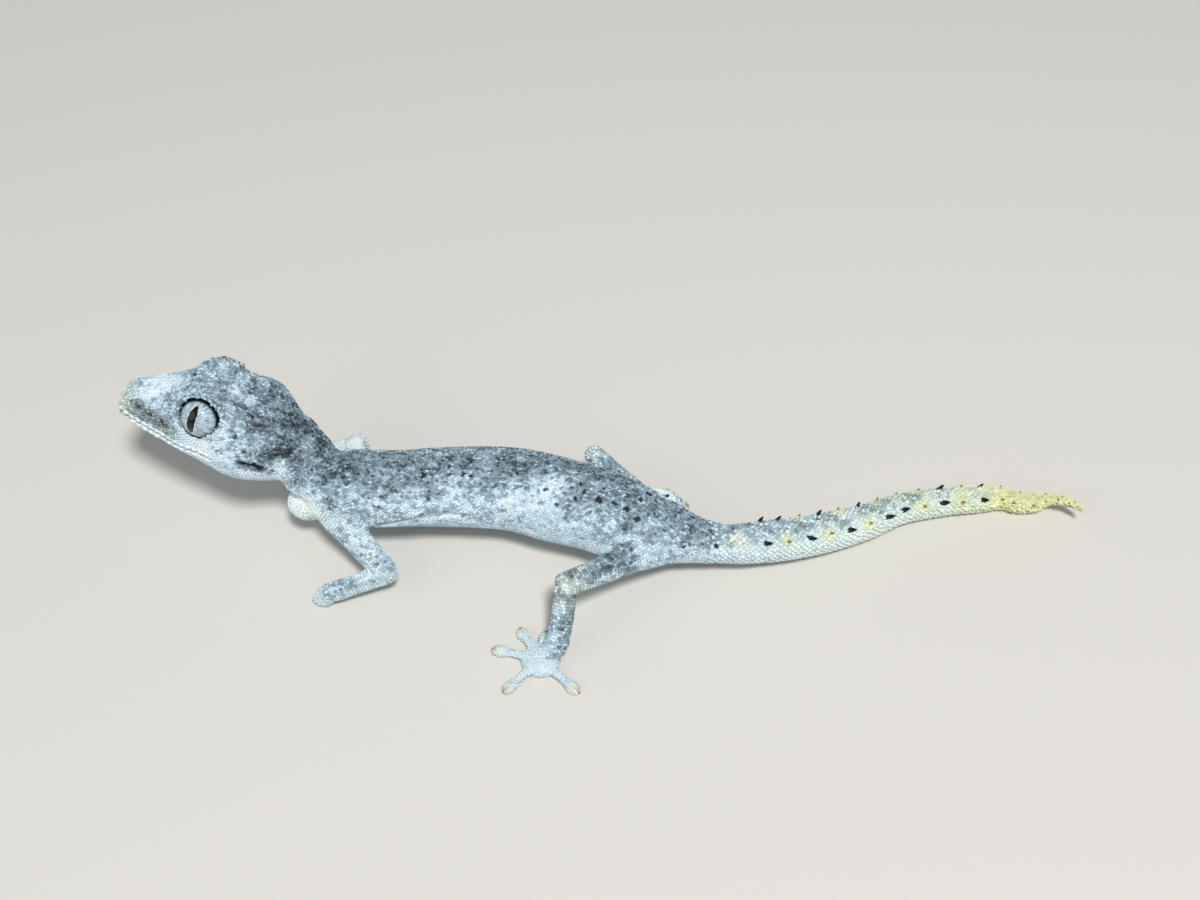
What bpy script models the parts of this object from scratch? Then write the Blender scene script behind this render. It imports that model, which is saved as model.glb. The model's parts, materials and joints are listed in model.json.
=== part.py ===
"""Northern spiny-tailed gecko at life size, still in mid stride: head to -X, tail to +X, left side to -Y.

Lengths are in millimetres until a mesh is made, which turns them into metres. The floor is Z 0.
Places are laid out from a point on the floor beside the animal. CENTRE is the middle of the whole
animal's outline in that layout, and everything is moved by it, so that the origin is under the middle.
"""

import math

import bmesh
import bpy
import numpy as np
from mathutils import Vector

MM = 0.001
CENTRE = Vector((1.07, -17.44, 0.0))
GAP = 0.3  # between a node and the next
STEPS = 3  # rings between two stations of a limb or of the trunk

# Head: where the tip of the snout is and how the head turns, in degrees.
SNOUT_TIP = (-56.7, -4.2, 14.6)
HEAD_YAW = 10.5  # to the animal's right
HEAD_PITCH = 8.5  # snout up
HEAD_ROLL = -4.0  # the left side turned up
HEAD_LENGTH = 21.0
# Distance behind the tip, half width, height above the line of the mouth, depth below it.
HEAD_PROFILE = (
    (0.5, 1.6, 1.9, 1.1),
    (1.5, 2.3, 3.0, 1.5),
    (3.0, 3.0, 3.7, 1.8),
    (5.0, 3.8, 4.4, 2.2),
    (7.0, 4.4, 5.0, 2.5),
    (9.0, 5.1, 5.8, 2.8),
    (11.0, 5.6, 6.3, 3.0),
    (13.0, 6.2, 6.0, 3.4),
    (15.0, 6.5, 5.4, 3.9),
    (17.0, 6.4, 4.7, 4.3),
    (19.0, 5.6, 3.8, 4.4),
    (21.0, 4.6, 2.8, 4.0),
)
NAPE_START = 15.0
NAPE_SHIFT = 0.9  # how far the back of the head leans to the left, toward the bend of the neck
MOUTH_END = 13.5
LIP_DEPTH = 0.28
EYE_RADIUS = 2.45
EYE_PLACE = (11.5, 3.35, 4.15)  # behind the tip, out from the middle, above the mouth line
EYE_LOOK = (-0.12, 0.9, 0.42)
RIM_OUT = 1.15  # from the middle of the eye to the plane of its rim
# The cup of skin round the eye: distance toward where it looks, and radius.
EYE_CUP = ((1.15, 2.8), (1.0, 3.0), (0.6, 3.1), (-0.1, 3.1), (-0.9, 2.95), (-1.8, 2.4), (-2.5, 1.5))
CUP_POLE = -2.9
# Where the skin swells or sinks: behind the tip, out, above, reach, height.
HEAD_SWELLS = ((11.0, 3.8, 5.2, 3.2, 0.9), (16.0, 6.2, 0.5, 2.6, 0.35), (5.0, 3.3, 1.6, 2.2, -0.3))
BROW_SPINES = ((62.0, 0.7), (82.0, 0.9), (102.0, 0.7))  # degrees round the rim from the rear, and length
EAR_PLACE = (18.6, 6.0, 0.6)
EAR_RADII = (1.25, 0.42)
NOSTRIL_PLACE = (1.1, 1.95, 1.0)
NOSTRIL_RADII = (0.36, 0.36, 0.32)

# Trunk behind the head: x, y, z of its middle, half width, height above, depth below.
TRUNK = (
    (-33.2, -11.0, 8.8, 3.6, 2.7, 3.5),
    (-29.6, -12.0, 7.7, 4.8, 3.9, 4.1),
    (-23.8, -11.7, 6.9, 4.9, 4.0, 4.0),
    (-19.1, -11.2, 6.6, 5.1, 4.1, 4.1),
    (-14.4, -11.1, 6.4, 5.3, 4.2, 4.2),
    (-9.6, -11.4, 6.2, 5.4, 4.2, 4.3),
    (-4.8, -12.8, 6.0, 5.5, 4.3, 4.3),
    (0.0, -14.3, 5.8, 5.3, 4.2, 4.1),
    (4.7, -16.1, 5.4, 4.9, 4.0, 3.7),
    (9.4, -17.2, 4.7, 3.5, 3.1, 2.9),
    (11.8, -17.5, 4.2, 2.75, 2.6, 2.5),
    (14.2, -17.6, 3.8, 2.35, 2.3, 2.2),
    (16.6, -17.4, 3.5, 2.4, 2.35, 2.25),
    (21.4, -16.5, 3.0, 2.55, 2.5, 2.4),
    (26.4, -15.1, 2.35, 2.4, 2.35, 2.3),
    (31.5, -13.3, 2.05, 2.2, 2.15, 2.1),
    (36.7, -10.9, 1.7, 1.85, 1.8, 1.75),
    (41.8, -9.7, 1.6, 1.75, 1.7, 1.65),
    (46.8, -9.2, 1.45, 1.55, 1.5, 1.5),
    (49.4, -8.9, 1.25, 1.35, 1.3, 1.3),
    (51.7, -9.6, 1.15, 1.2, 1.15, 1.2),
    (53.6, -9.6, 1.15, 1.0, 1.0, 1.0),
    (55.3, -9.5, 1.8, 0.7, 0.7, 0.7),
    (57.2, -10.4, 2.4, 0.5, 0.5, 0.5),
    (58.7, -11.8, 2.6, 0.2, 0.2, 0.2),
)
# X at which one length of the trunk ends and the next begins.
NECK_END = -31.5
TORSO_END = 11.0
TAIL_BASE_END = 24.0
TAIL_MIDDLE_END = 42.0
BREAST = (-34.5, -12.4, 5.2)  # the swelling in front of the left shoulder
BREAST_RADII = (2.9, 2.4, 2.3)

# Limbs from root to end: x, y, z, radius.
LEFT_UPPER_ARM = ((-32.4, -13.2, 6.6, 2.4), (-30.8, -15.5, 5.9, 1.95), (-28.4, -17.9, 4.8, 1.65),
                  (-26.0, -20.3, 3.7, 1.5), (-24.9, -21.3, 3.2, 1.4))
LEFT_FOREARM = ((-24.9, -21.3, 3.1, 1.35), (-27.8, -22.2, 2.5, 1.2), (-31.0, -23.0, 1.75, 1.2))
RIGHT_UPPER_ARM = ((-31.2, -9.2, 7.0, 2.3), (-30.8, -5.5, 5.2, 1.6), (-30.2, -1.8, 3.4, 1.3))
RIGHT_FOREARM = ((-30.2, -1.8, 3.3, 1.25), (-33.1, -2.0, 2.4, 1.15), (-35.7, -2.2, 1.6, 1.1))
LEFT_THIGH = ((6.8, -18.5, 5.1, 2.7), (3.5, -21.0, 6.0, 2.0), (0.6, -23.1, 6.5, 1.6),
              (-2.2, -24.9, 7.1, 1.45), (-3.8, -25.6, 7.2, 1.35))
LEFT_SHANK = ((-3.8, -25.7, 7.1, 1.35), (-4.2, -28.2, 4.6, 1.3), (-4.9, -30.4, 2.0, 1.35))
RIGHT_THIGH = ((8.0, -13.6, 5.4, 2.15), (3.2, -11.4, 5.9, 1.4), (0.9, -8.1, 6.3, 1.3),
               (-0.7, -6.3, 6.5, 1.2))
RIGHT_SHANK = ((-0.7, -6.1, 6.4, 1.15), (1.6, -6.9, 4.2, 1.15), (4.4, -8.0, 1.9, 1.2))

# Feet: the middle of the sole, its radii, and for each toe where its pad ends on the floor.
TOE_WIDTH = 0.55
PAD_WIDTH = 0.85
TOE_ROOT = 0.27  # how far out from the middle of the sole a toe starts, as a share of its reach
LEFT_FOOT_SOLE = (-6.7, -31.6, 0.5)
LEFT_FOOT_RADII = (2.3, 2.2, 1.0)
LEFT_FOOT_TOES = ((-6.2, -27.6), (-9.3, -27.2), (-12.3, -30.0), (-10.8, -35.6), (-2.4, -35.7))
RIGHT_FOOT_SOLE = (5.4, -8.6, 0.5)
RIGHT_FOOT_RADII = (2.0, 1.7, 1.0)
RIGHT_FOOT_TOES = ((4.2, -12.1), (7.5, -12.9), (10.3, -11.9), (11.0, -9.4), (8.7, -7.0))
RIGHT_HAND_SOLE = (-37.1, -2.3, 0.5)
RIGHT_HAND_RADII = (1.7, 1.6, 0.9)
RIGHT_HAND_TOES = ((-38.0, -4.0), (-40.8, -3.9), (-41.5, -1.7), (-40.1, 0.4), (-37.3, 1.0))
LEFT_HAND_SOLE = (-32.2, -23.1, 0.95)
LEFT_HAND_SPREAD = (-0.85, -0.42, 0.0, 0.42, 0.85)

SPINE_ROWS = (-40.0, 40.0)  # degrees from the middle of the back, left and right
SPINE_START = 19.0
SPINE_END = 58.2
SPINE_LENGTH = 1.3
SPINE_RADIUS = 0.42

SKIN = (0.46, 0.5, 0.52, 1.0)
TAIL_SKIN = (0.5, 0.55, 0.5, 1.0)
TIP_SKIN = (0.62, 0.63, 0.33, 1.0)
EYE_COLOUR = (0.5, 0.52, 0.55, 1.0)


def unit(vectors):
    vectors = np.asarray(vectors, float)
    return vectors / np.linalg.norm(vectors, axis=-1, keepdims=True)


def smooth_rows(rows, steps):
    """Catmull-Rom curve through rows of numbers, with this many steps from each row to the next."""
    rows = np.array(rows, float)
    ends = np.vstack([2 * rows[0] - rows[1], rows, 2 * rows[-1] - rows[-2]])
    out = []
    for a, b, c, d in zip(ends, ends[1:], ends[2:], ends[3:]):
        for t in np.arange(steps) / steps:
            cubic = (3 * b - 3 * c + d - a) * t**3
            out.append(0.5 * (2 * b + (c - a) * t + (2 * a - 5 * b + 4 * c - d) * t**2 + cubic))
    return np.array(out + [rows[-1]])


def head_axes():
    """Unit vectors of the head: back from the snout, out to the animal's right, and up."""
    yaw, pitch, roll = (math.radians(a) for a in (HEAD_YAW, HEAD_PITCH, HEAD_ROLL))
    back = np.array((math.cos(yaw) * math.cos(pitch), -math.sin(yaw) * math.cos(pitch), -math.sin(pitch)))
    side = unit(np.cross((0, 0, 1), back))
    up = np.cross(back, side)
    return back, math.cos(roll) * side + math.sin(roll) * up, math.cos(roll) * up - math.sin(roll) * side


BACK, SIDE, UP = head_axes()


def head_point(behind, out, above):
    return np.array(SNOUT_TIP) + behind * BACK + out * SIDE + above * UP


def nape_shift(behind):
    return -NAPE_SHIFT * max(0.0, (behind - NAPE_START) / (HEAD_LENGTH - NAPE_START)) ** 1.5


def frames(points):
    """The side and up vector at each point of a curve."""
    along = unit(np.gradient(points, axis=0))
    side = unit(np.cross((0, 0, 1), along))
    return along, side, np.cross(along, side)


def mesh_from_rings(rings, start=None, end=None):
    """A closed tube over rings of equal count. A start or end point closes it as a cone, and None flat."""
    count = len(rings[0])
    points = [tuple(p) for ring in rings for p in ring]
    faces = []
    for i in range(len(rings) - 1):
        for k in range(count):
            a, b = i * count + k, i * count + (k + 1) % count
            faces.append((a, b, b + count, a + count))
    last = (len(rings) - 1) * count
    for point, ring, flip in ((start, 0, True), (end, last, False)):
        loop = [ring + k for k in range(count)]
        if point is None:
            faces.append(loop[::-1] if flip else loop)
            continue
        points.append(tuple(point))
        tip = len(points) - 1
        for k in range(count):
            a, b = loop[k], loop[(k + 1) % count]
            faces.append((b, a, tip) if flip else (a, b, tip))
    return points, faces


def tube(rows, sides, steps=STEPS, grow=0.0, flat=1.0, round_start=True, round_end=True):
    """A limb through rows of x, y, z, radius, with round ends. flat scales its height."""
    rows = smooth_rows(rows, steps)
    along, side, up = frames(rows[:, :3])
    radius = rows[:, 3] + grow
    turn = 2 * math.pi * np.arange(sides) / sides
    stations = [(rows[i, :3], i, radius[i]) for i in range(len(rows))]
    domes = [math.radians(a) for a in (32, 62)]
    first, last = [], []
    for angle in domes:
        reach = math.sin(angle)
        first.insert(0, (rows[0, :3] - along[0] * radius[0] * reach, 0, radius[0] * math.cos(angle)))
        last.append((rows[-1, :3] + along[-1] * radius[-1] * reach, -1, radius[-1] * math.cos(angle)))
    stations = (first if round_start else []) + stations + (last if round_end else [])
    rings = [
        centre + np.outer(np.cos(turn), side[i] * r) + np.outer(np.sin(turn), up[i] * r * flat)
        for centre, i, r in stations
    ]
    start = rows[0, :3] - along[0] * radius[0] if round_start else None
    end = rows[-1, :3] + along[-1] * radius[-1] if round_end else None
    return mesh_from_rings(rings, start, end)


def ellipsoid(centre, radii, sides=20, grow=0.0):
    radii = np.array(radii, float) + grow
    rings = []
    angle = 2 * math.pi * np.arange(sides) / sides
    rows = sides // 2
    for k in range(1, rows):
        lift = math.pi * k / rows
        flat = np.stack([np.cos(angle), np.sin(angle)], axis=1) * math.sin(lift) * radii[:2]
        rings.append(np.column_stack([flat, np.full(sides, -math.cos(lift) * radii[2])]))
    rings = [ring + centre for ring in rings]
    bottom = np.array(centre) - (0, 0, radii[2])
    top = np.array(centre) + (0, 0, radii[2])
    return mesh_from_rings(rings, bottom, top)


def material(name, colour, roughness):
    made = bpy.data.materials.new(name)
    made.use_nodes = True
    shader = made.node_tree.nodes["Principled BSDF"]
    shader.inputs["Base Color"].default_value = colour
    shader.inputs["Roughness"].default_value = roughness
    shader.inputs["Metallic"].default_value = 0.0
    made.diffuse_color = colour
    return made


def add_object(name, shape, root=(0, 0, 0)):
    """An object with its origin at root, from points and faces in millimetres of the layout."""
    points, faces = shape
    root = Vector(root)
    mesh = bpy.data.meshes.new(name)
    mesh.from_pydata([(Vector(p) - root) * MM for p in points], [], faces)
    shaper = bmesh.new()
    shaper.from_mesh(mesh)
    bmesh.ops.recalc_face_normals(shaper, faces=shaper.faces)
    bmesh.ops.triangulate(shaper, faces=[f for f in shaper.faces if len(f.verts) > 4])
    shaper.to_mesh(mesh)
    shaper.free()
    made = bpy.data.objects.new(name, mesh)
    made.location = (root - CENTRE) * MM
    bpy.context.scene.collection.objects.link(made)
    return made


def boolean(body, operation, shapes):
    """Joins closed shapes to the body or cuts them from it."""
    if not shapes:
        return
    group = bpy.data.collections.new("pieces")
    bpy.context.scene.collection.children.link(group)
    for shape in shapes:
        piece = add_object("piece", shape)
        bpy.context.scene.collection.objects.unlink(piece)
        group.objects.link(piece)
    change = body.modifiers.new(operation, "BOOLEAN")
    change.operation = operation
    change.operand_type = "COLLECTION"
    change.collection = group
    change.solver = "MANIFOLD"
    bpy.context.view_layer.update()
    bpy.context.view_layer.objects.active = body
    bpy.ops.object.modifier_apply(modifier=change.name)
    for piece in list(group.objects):
        mesh = piece.data
        bpy.data.objects.remove(piece)
        bpy.data.meshes.remove(mesh)
    bpy.data.collections.remove(group)


def keep_largest(body):
    """Drops all but the largest closed surface of the body's mesh."""
    shaper = bmesh.new()
    shaper.from_mesh(body.data)
    unseen = set(shaper.verts)
    islands = []
    while unseen:
        island = {unseen.pop()}
        edge_of = list(island)
        while edge_of:
            for edge in edge_of.pop().link_edges:
                for vert in edge.verts:
                    if vert in unseen:
                        unseen.remove(vert)
                        island.add(vert)
                        edge_of.append(vert)
        islands.append(island)
    largest = max(islands, key=len)
    loose = [vert for island in islands if island is not largest for vert in island]
    bmesh.ops.delete(shaper, geom=loose, context="VERTS")
    shaper.to_mesh(body.data)
    shaper.free()


def node(name, look, root, shape, joined=(), cut=()):
    """A named sub-part: its shape, with what is joined to it and what is cut from it."""
    body = add_object(name, shape, root)
    boolean(body, "UNION", joined)
    boolean(body, "DIFFERENCE", cut)
    keep_largest(body)
    body.data.materials.clear()
    body.data.materials.append(look)
    body.data.shade_smooth()
    body.data.set_sharp_from_angle(angle=math.radians(50))
    body.parent = bpy.data.objects["gecko"]


def head_bumps(behind, out, above):
    """How far the skin of the head stands out at a place, beyond its plain oval rings."""
    total = 0.0
    for at_behind, at_out, at_above, reach, height in HEAD_SWELLS:
        distance = (behind - at_behind) ** 2 + (abs(out) - at_out) ** 2 + (above - at_above) ** 2
        total += height * math.exp(-distance / reach**2)
    return total


def head_rings(grow=0.0):
    """Rings from the snout to the back of the head. Lines of points close to the mouth form the lips."""
    even = np.arange(32) * 11.25
    lips = [angle + side for angle in (0.0, 180.0) for side in (-3.0, 3.0)]
    turns = np.radians(np.sort(np.concatenate([even, np.mod(lips, 360.0)])))
    behind = np.concatenate([(0.12, 0.5, 1.0, 1.6, 2.3), np.arange(3.0, HEAD_LENGTH, 1.0), (HEAD_LENGTH,)])
    dense = smooth_rows(((0.0, 0.0, 0.3, 0.2),) + HEAD_PROFILE, 8)
    rings = []
    for back in behind:
        width, top, bottom = (np.interp(back, dense[:, 0], dense[:, k]) for k in (1, 2, 3))
        if back < 0.5:
            width, top, bottom = 0.85, 0.85, 0.65
        ring = []
        for turn in turns:
            c, s = math.cos(turn), math.sin(turn)
            out = width * math.copysign(abs(c) ** 0.85, c)
            above = (top if s > 0 else bottom) * math.copysign(abs(s) ** 0.85, s)
            size = math.hypot(out, above)
            swell = head_bumps(back, out, above) * min(1.0, (HEAD_LENGTH - back) / 3.0) + grow
            if abs(s) < 0.01:
                swell -= LIP_DEPTH * min(1.0, max(0.0, (MOUTH_END - back) / 1.5))
            out, above = out * (1 + swell / size), above * (1 + swell / size)
            ring.append(head_point(back, out + nape_shift(back), above))
        rings.append(ring)
    if grow:
        rings.append([np.array(point) + grow * BACK for point in rings[-1]])
    return rings


def eye_centre(side):
    behind, out, above = EYE_PLACE
    return head_point(behind, side * out, above)


def eye_direction(side):
    back, out, up = EYE_LOOK
    return unit(back * BACK + side * out * SIDE + up * UP)


def round_eye(side, profile, sides, pole=None, front_pole=None):
    """A solid turned about the way the eye looks, from pairs of distance toward it and radius."""
    look = eye_direction(side)
    across = unit(np.cross(look, UP))
    over = np.cross(across, look)
    angle = 2 * math.pi * np.arange(sides) / sides
    circle = np.outer(np.cos(angle), across) - np.outer(np.sin(angle), over)
    rings = [eye_centre(side) + look * reach + circle * radius for reach, radius in profile]
    poles = [None if reach is None else eye_centre(side) + look * reach for reach in (front_pole, pole)]
    return mesh_from_rings(rings, *poles)


def eye_ball(side, radius, sides):
    turns = np.pi * np.arange(1, sides // 2) / (sides // 2)
    profile = [(radius * math.cos(turn), radius * math.sin(turn)) for turn in turns]
    return round_eye(side, profile, sides, -radius, radius)


def eye_cup(side):
    """The skin that stands round the eye and makes the brow."""
    return round_eye(side, EYE_CUP, 24, pole=CUP_POLE)


def spike(root, tip, radius, sides=5, sink=0.6):
    """A slightly bent tapering spine from a root point, which is sunk into the body."""
    root, tip = np.array(root, float), np.array(tip, float)
    along = unit(tip - root)
    across = unit(np.cross(along, (0.31, 0.17, 0.94)))
    over = np.cross(along, across)
    angle = 2 * math.pi * np.arange(sides) / sides
    circle = np.outer(np.cos(angle), across) + np.outer(np.sin(angle), over)
    middle = root + 0.45 * (tip - root) + np.array((0.0, 0.0, 0.06))
    places = ((root - along * sink, 1.0), (root, 0.9), (middle, 0.5))
    return mesh_from_rings([place + circle * radius * share for place, share in places], None, tip)


def brow_spines(side):
    """Three short spines over the rear upper edge of the eye."""
    look = eye_direction(side)
    rear = unit(BACK - look * np.dot(BACK, look))
    over = unit(UP - look * np.dot(UP, look))
    spines = []
    for degrees, length in BROW_SPINES:
        turn = math.radians(degrees)
        spoke = math.cos(turn) * rear + math.sin(turn) * over
        root = eye_centre(side) + RIM_OUT * look + spoke * (EYE_RADIUS + 0.45)
        tip = root + (spoke * 0.75 + look * 0.35 + BACK * 0.3) * length
        spines.append(spike(root, tip, 0.3, sink=0.35))
    return spines


def ear_pit(side):
    """A slanting slit, cut where the drum of the ear lies."""
    behind, out, above = EAR_PLACE
    middle = head_point(behind, side * out, above)
    long_way = unit(BACK - 0.25 * UP)
    short_way = unit(np.cross(long_way, SIDE))
    rings = []
    angle = 2 * math.pi * np.arange(14) / 14
    length, breadth = EAR_RADII
    ring = np.outer(np.cos(angle), long_way * length) + np.outer(np.sin(angle), short_way * breadth)
    for depth, size in ((-1.4, 0.75), (1.6, 1.15)):
        rings.append(middle + ring * size + SIDE * side * depth)
    return mesh_from_rings(rings)


def nostril_pit(side):
    behind, out, above = NOSTRIL_PLACE
    return ellipsoid(head_point(behind, side * out, above), NOSTRIL_RADII, sides=10)


def trunk_rows():
    """Dense rows of the whole trunk: x, y, z, half width, height, depth."""
    rows = [(*head_point(row[0], nape_shift(row[0]), 0), *row[1:]) for row in HEAD_PROFILE[-3:]]
    return smooth_rows(rows + list(TRUNK), 8)


def lengths_along(points):
    """The distance of each point from the first, along the line through them."""
    return np.concatenate([[0], np.cumsum(np.linalg.norm(np.diff(points, axis=0), axis=1))])


def trunk_slice(start, end, spacing, grow=0.0):
    """Places, frames and sizes of the trunk between two distances along it."""
    dense = trunk_rows()
    length = lengths_along(dense[:, :3])
    count = max(2, int(round((end - start) / spacing)) + 1)
    where = np.linspace(start - grow, end + grow, count)
    along, side, up = frames(dense[:, :3])
    columns = np.column_stack([dense, along, side, up])
    return np.column_stack([np.interp(where, length, column) for column in columns.T])


def trunk_length_at(x):
    """The distance along the trunk at which its middle reaches this X."""
    dense = trunk_rows()
    return float(np.interp(x, dense[:, 0], lengths_along(dense[:, :3])))


def trunk_shape(start, end, sides, spacing, grow=0.0, pointed=False):
    rows = trunk_slice(start, end, spacing, grow)
    turn = 2 * math.pi * np.arange(sides) / sides
    cos, sin = np.cos(turn), np.sin(turn)
    rings = []
    for row in rows:
        centre, width, top, bottom = row[:3], row[3], row[4], row[5]
        side, up = unit(row[9:12]), unit(row[12:15])
        rise = np.where(sin > 0, top + grow, bottom + grow) * sin
        rings.append(centre + np.outer((width + grow) * cos, side) + np.outer(rise, up))
    end_point = rows[-1, :3] + 0.3 * unit(rows[-1, 6:9]) if pointed else None
    return mesh_from_rings(rings, None, end_point)


def floor_block():
    """All that lies below the floor, cut away so that the soles and the tail rest on flats."""
    corners = [(x, y, z) for z in (-20, 0) for x, y in ((-90, -70), (90, -70), (90, 50), (-90, 50))]
    faces = [(3, 2, 1, 0), (4, 5, 6, 7), (0, 1, 5, 4), (1, 2, 6, 5), (2, 3, 7, 6), (3, 0, 4, 7)]
    return corners, faces


def tail_spines(start, end):
    """Two rows of spines along the back of the tail, between two distances along the trunk."""
    draw = np.random.default_rng(7)
    last = trunk_length_at(SPINE_END)
    spines = []
    for row_index, degrees in enumerate(SPINE_ROWS):
        where = trunk_length_at(SPINE_START) + 0.9 * row_index
        while where < last:
            row = trunk_slice(where, where + 0.1, 0.1)[0]
            place, width, top, along, side, up = row[:3], row[3], row[4], row[6:9], row[9:12], row[12:15]
            turn = math.radians(degrees + draw.uniform(-4, 4))
            outward = math.sin(turn) * side * width + math.cos(turn) * up * top
            size = min(1.0, 0.35 + 0.4 * width) * draw.uniform(0.85, 1.1)
            root = place + outward * 0.93
            tip = root + unit(unit(outward) + 0.75 * along) * SPINE_LENGTH * size
            if start + 0.7 < where < end - 0.7:
                spines.append(spike(root, tip, SPINE_RADIUS * size, sink=0.3 * width))
            where += min(2.35, 0.9 + 0.9 * width)
    return spines


def toe(root, end, width=TOE_WIDTH, pad=PAD_WIDTH, sides=8):
    """A toe that leaves the sole at root and ends in a broad flat pad on the floor."""
    root = np.array((*root, 0.75))
    end = np.array((*end, 0.28))
    way = unit(end - root)
    reach = np.linalg.norm(end - root)
    rows = [
        (*root, width * 1.15),
        (*(root + way * reach * 0.42), width),
        (*(root + way * (reach - 2.1 * pad)), width * 1.08),
        (*(root + way * (reach - 1.25 * pad)), pad),
        (*(root + way * (reach - 0.75 * pad)), pad * 0.92),
    ]
    return tube(rows, sides, steps=2, flat=0.72, round_start=False)


def foot(name, look, sole, radii, toes, shank):
    """A sole with its toes, reaching up into the end of the shank, and flat below."""
    pieces = []
    for x, y in toes:
        root = (sole[0] + TOE_ROOT * (x - sole[0]), sole[1] + TOE_ROOT * (y - sole[1]))
        pieces.append(toe(root, (x, y)))
    ankle, radius = np.array(shank[-1][:3]), shank[-1][3]
    heel = [(*ankle, radius), (*(0.5 * (ankle + sole)), radius * 0.95), (*sole[:2], sole[2] + 0.1, 0.9)]
    pieces.append(tube(heel, 14, steps=2))
    shape = ellipsoid(sole, radii, sides=18)
    node(name, look, ankle, shape, pieces, [tube(shank, 14, grow=GAP, round_end=False), floor_block()])


def closed_hand(name, look, sole, forearm):
    """A hand with its five short toes bent down under its blunt front."""
    wrist, sole = np.array(forearm[-1][:3]), np.array(sole)
    forward = unit((sole - wrist) * (1, 1, 0))
    across = np.cross((0, 0, 1), forward)
    rows = [(*wrist, 1.15), (*(0.5 * (wrist + sole) + (0, 0, 0.1)), 1.25), (*sole, 1.3)]
    pieces = []
    for spread in LEFT_HAND_SPREAD:
        root = sole + forward * 0.55 + across * spread + (0, 0, -0.15)
        bend = root + forward * (0.75 - 0.3 * abs(spread)) + across * spread * 0.25 + (0, 0, -0.2)
        end = bend + forward * 0.1 - np.array((0, 0, 0.25))
        pieces.append(tube([(*root, 0.42), (*bend, 0.42), (*end, 0.36)], 7, steps=1, round_start=False))
    cut = [tube(forearm, 14, grow=GAP, round_end=False), floor_block()]
    node(name, look, wrist, tube(rows, 16, steps=3, flat=0.92), pieces, cut)


def build_head(look, eye_look):
    rings = head_rings()
    shape = mesh_from_rings(rings, head_point(0.0, 0.0, 0.1))
    joined = [eye_cup(side) for side in (-1, 1)]
    for side in (-1, 1):
        joined += brow_spines(side)
    cut = [eye_ball(side, EYE_RADIUS + GAP, 22) for side in (-1, 1)]
    for side in (-1, 1):
        cut += [ear_pit(side), nostril_pit(side)]
    node("head", look, head_point(HEAD_LENGTH, 0, 0), shape, joined, cut)
    node("left_eye", eye_look, eye_centre(-1), eye_ball(-1, EYE_RADIUS, 20))
    node("right_eye", eye_look, eye_centre(1), eye_ball(1, EYE_RADIUS, 20))


def build_trunk(skin, tail_skin, tip_skin):
    seams = [trunk_length_at(x) for x in (NECK_END, TORSO_END, TAIL_BASE_END, TAIL_MIDDLE_END)]
    neck_end, torso_end, base_end, middle_end = seams
    head_end = trunk_length_at(head_point(HEAD_LENGTH, 0, 0)[0])
    tip_end = trunk_length_at(TRUNK[-1][0])
    breast = ellipsoid(BREAST, BREAST_RADII, sides=16)
    wide_breast = ellipsoid(BREAST, BREAST_RADII, sides=16, grow=GAP)
    neck_root = trunk_slice(neck_end, neck_end + 1, 1)[0, :3]
    tail_roots = [trunk_slice(seam, seam + 1, 1)[0, :3] for seam in (torso_end, base_end, middle_end)]
    head = mesh_from_rings(head_rings(GAP))
    node("neck", skin, neck_root, trunk_shape(head_end - 1.2, neck_end, 28, 1.1), cut=[wide_breast, head])
    node("torso", skin, trunk_slice(torso_end, torso_end + 1, 1)[0, :3],
         trunk_shape(neck_end + GAP, torso_end, 28, 1.7), [breast])
    tail = (
        ("tail_base", tail_skin, torso_end, base_end, 22),
        ("tail_middle", tail_skin, base_end, middle_end, 20),
        ("tail_tip", tip_skin, middle_end, tip_end, 16),
    )
    for (name, look, start, end, sides), root in zip(tail, tail_roots):
        shape = trunk_shape(start + GAP, end, sides, 1.2, pointed=name == "tail_tip")
        node(name, look, root, shape, tail_spines(start + GAP, end), [floor_block()])


def torso_cutter():
    start, end = trunk_length_at(NECK_END), trunk_length_at(TORSO_END)
    return trunk_shape(start, end + GAP, 28, 1.7, grow=GAP)


def build_limbs(skin):
    torso = torso_cutter()
    breast = ellipsoid(BREAST, BREAST_RADII, sides=16, grow=GAP)
    neck_end = trunk_length_at(NECK_END)
    neck = trunk_shape(neck_end - 5.0, neck_end + GAP, 30, 0.9, grow=GAP)
    for name, rows, cut in (
        ("left_upper_arm", LEFT_UPPER_ARM, [torso, breast, neck]),
        ("right_upper_arm", RIGHT_UPPER_ARM, [torso, breast, neck]),
        ("left_thigh", LEFT_THIGH, [torso]),
        ("right_thigh", RIGHT_THIGH, [torso]),
    ):
        node(name, skin, rows[0][:3], tube(rows, 14), cut=cut)
    for name, rows, upper in (
        ("left_forearm", LEFT_FOREARM, LEFT_UPPER_ARM),
        ("right_forearm", RIGHT_FOREARM, RIGHT_UPPER_ARM),
        ("left_shank", LEFT_SHANK, LEFT_THIGH),
        ("right_shank", RIGHT_SHANK, RIGHT_THIGH),
    ):
        node(name, skin, rows[0][:3], tube(rows, 14, round_end=False), cut=[tube(upper, 14, grow=GAP)])
    foot("left_foot", skin, LEFT_FOOT_SOLE, LEFT_FOOT_RADII, LEFT_FOOT_TOES, LEFT_SHANK)
    foot("right_foot", skin, RIGHT_FOOT_SOLE, RIGHT_FOOT_RADII, RIGHT_FOOT_TOES, RIGHT_SHANK)
    foot("right_hand", skin, RIGHT_HAND_SOLE, RIGHT_HAND_RADII, RIGHT_HAND_TOES, RIGHT_FOREARM)
    closed_hand("left_hand", skin, LEFT_HAND_SOLE, LEFT_FOREARM)


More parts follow.
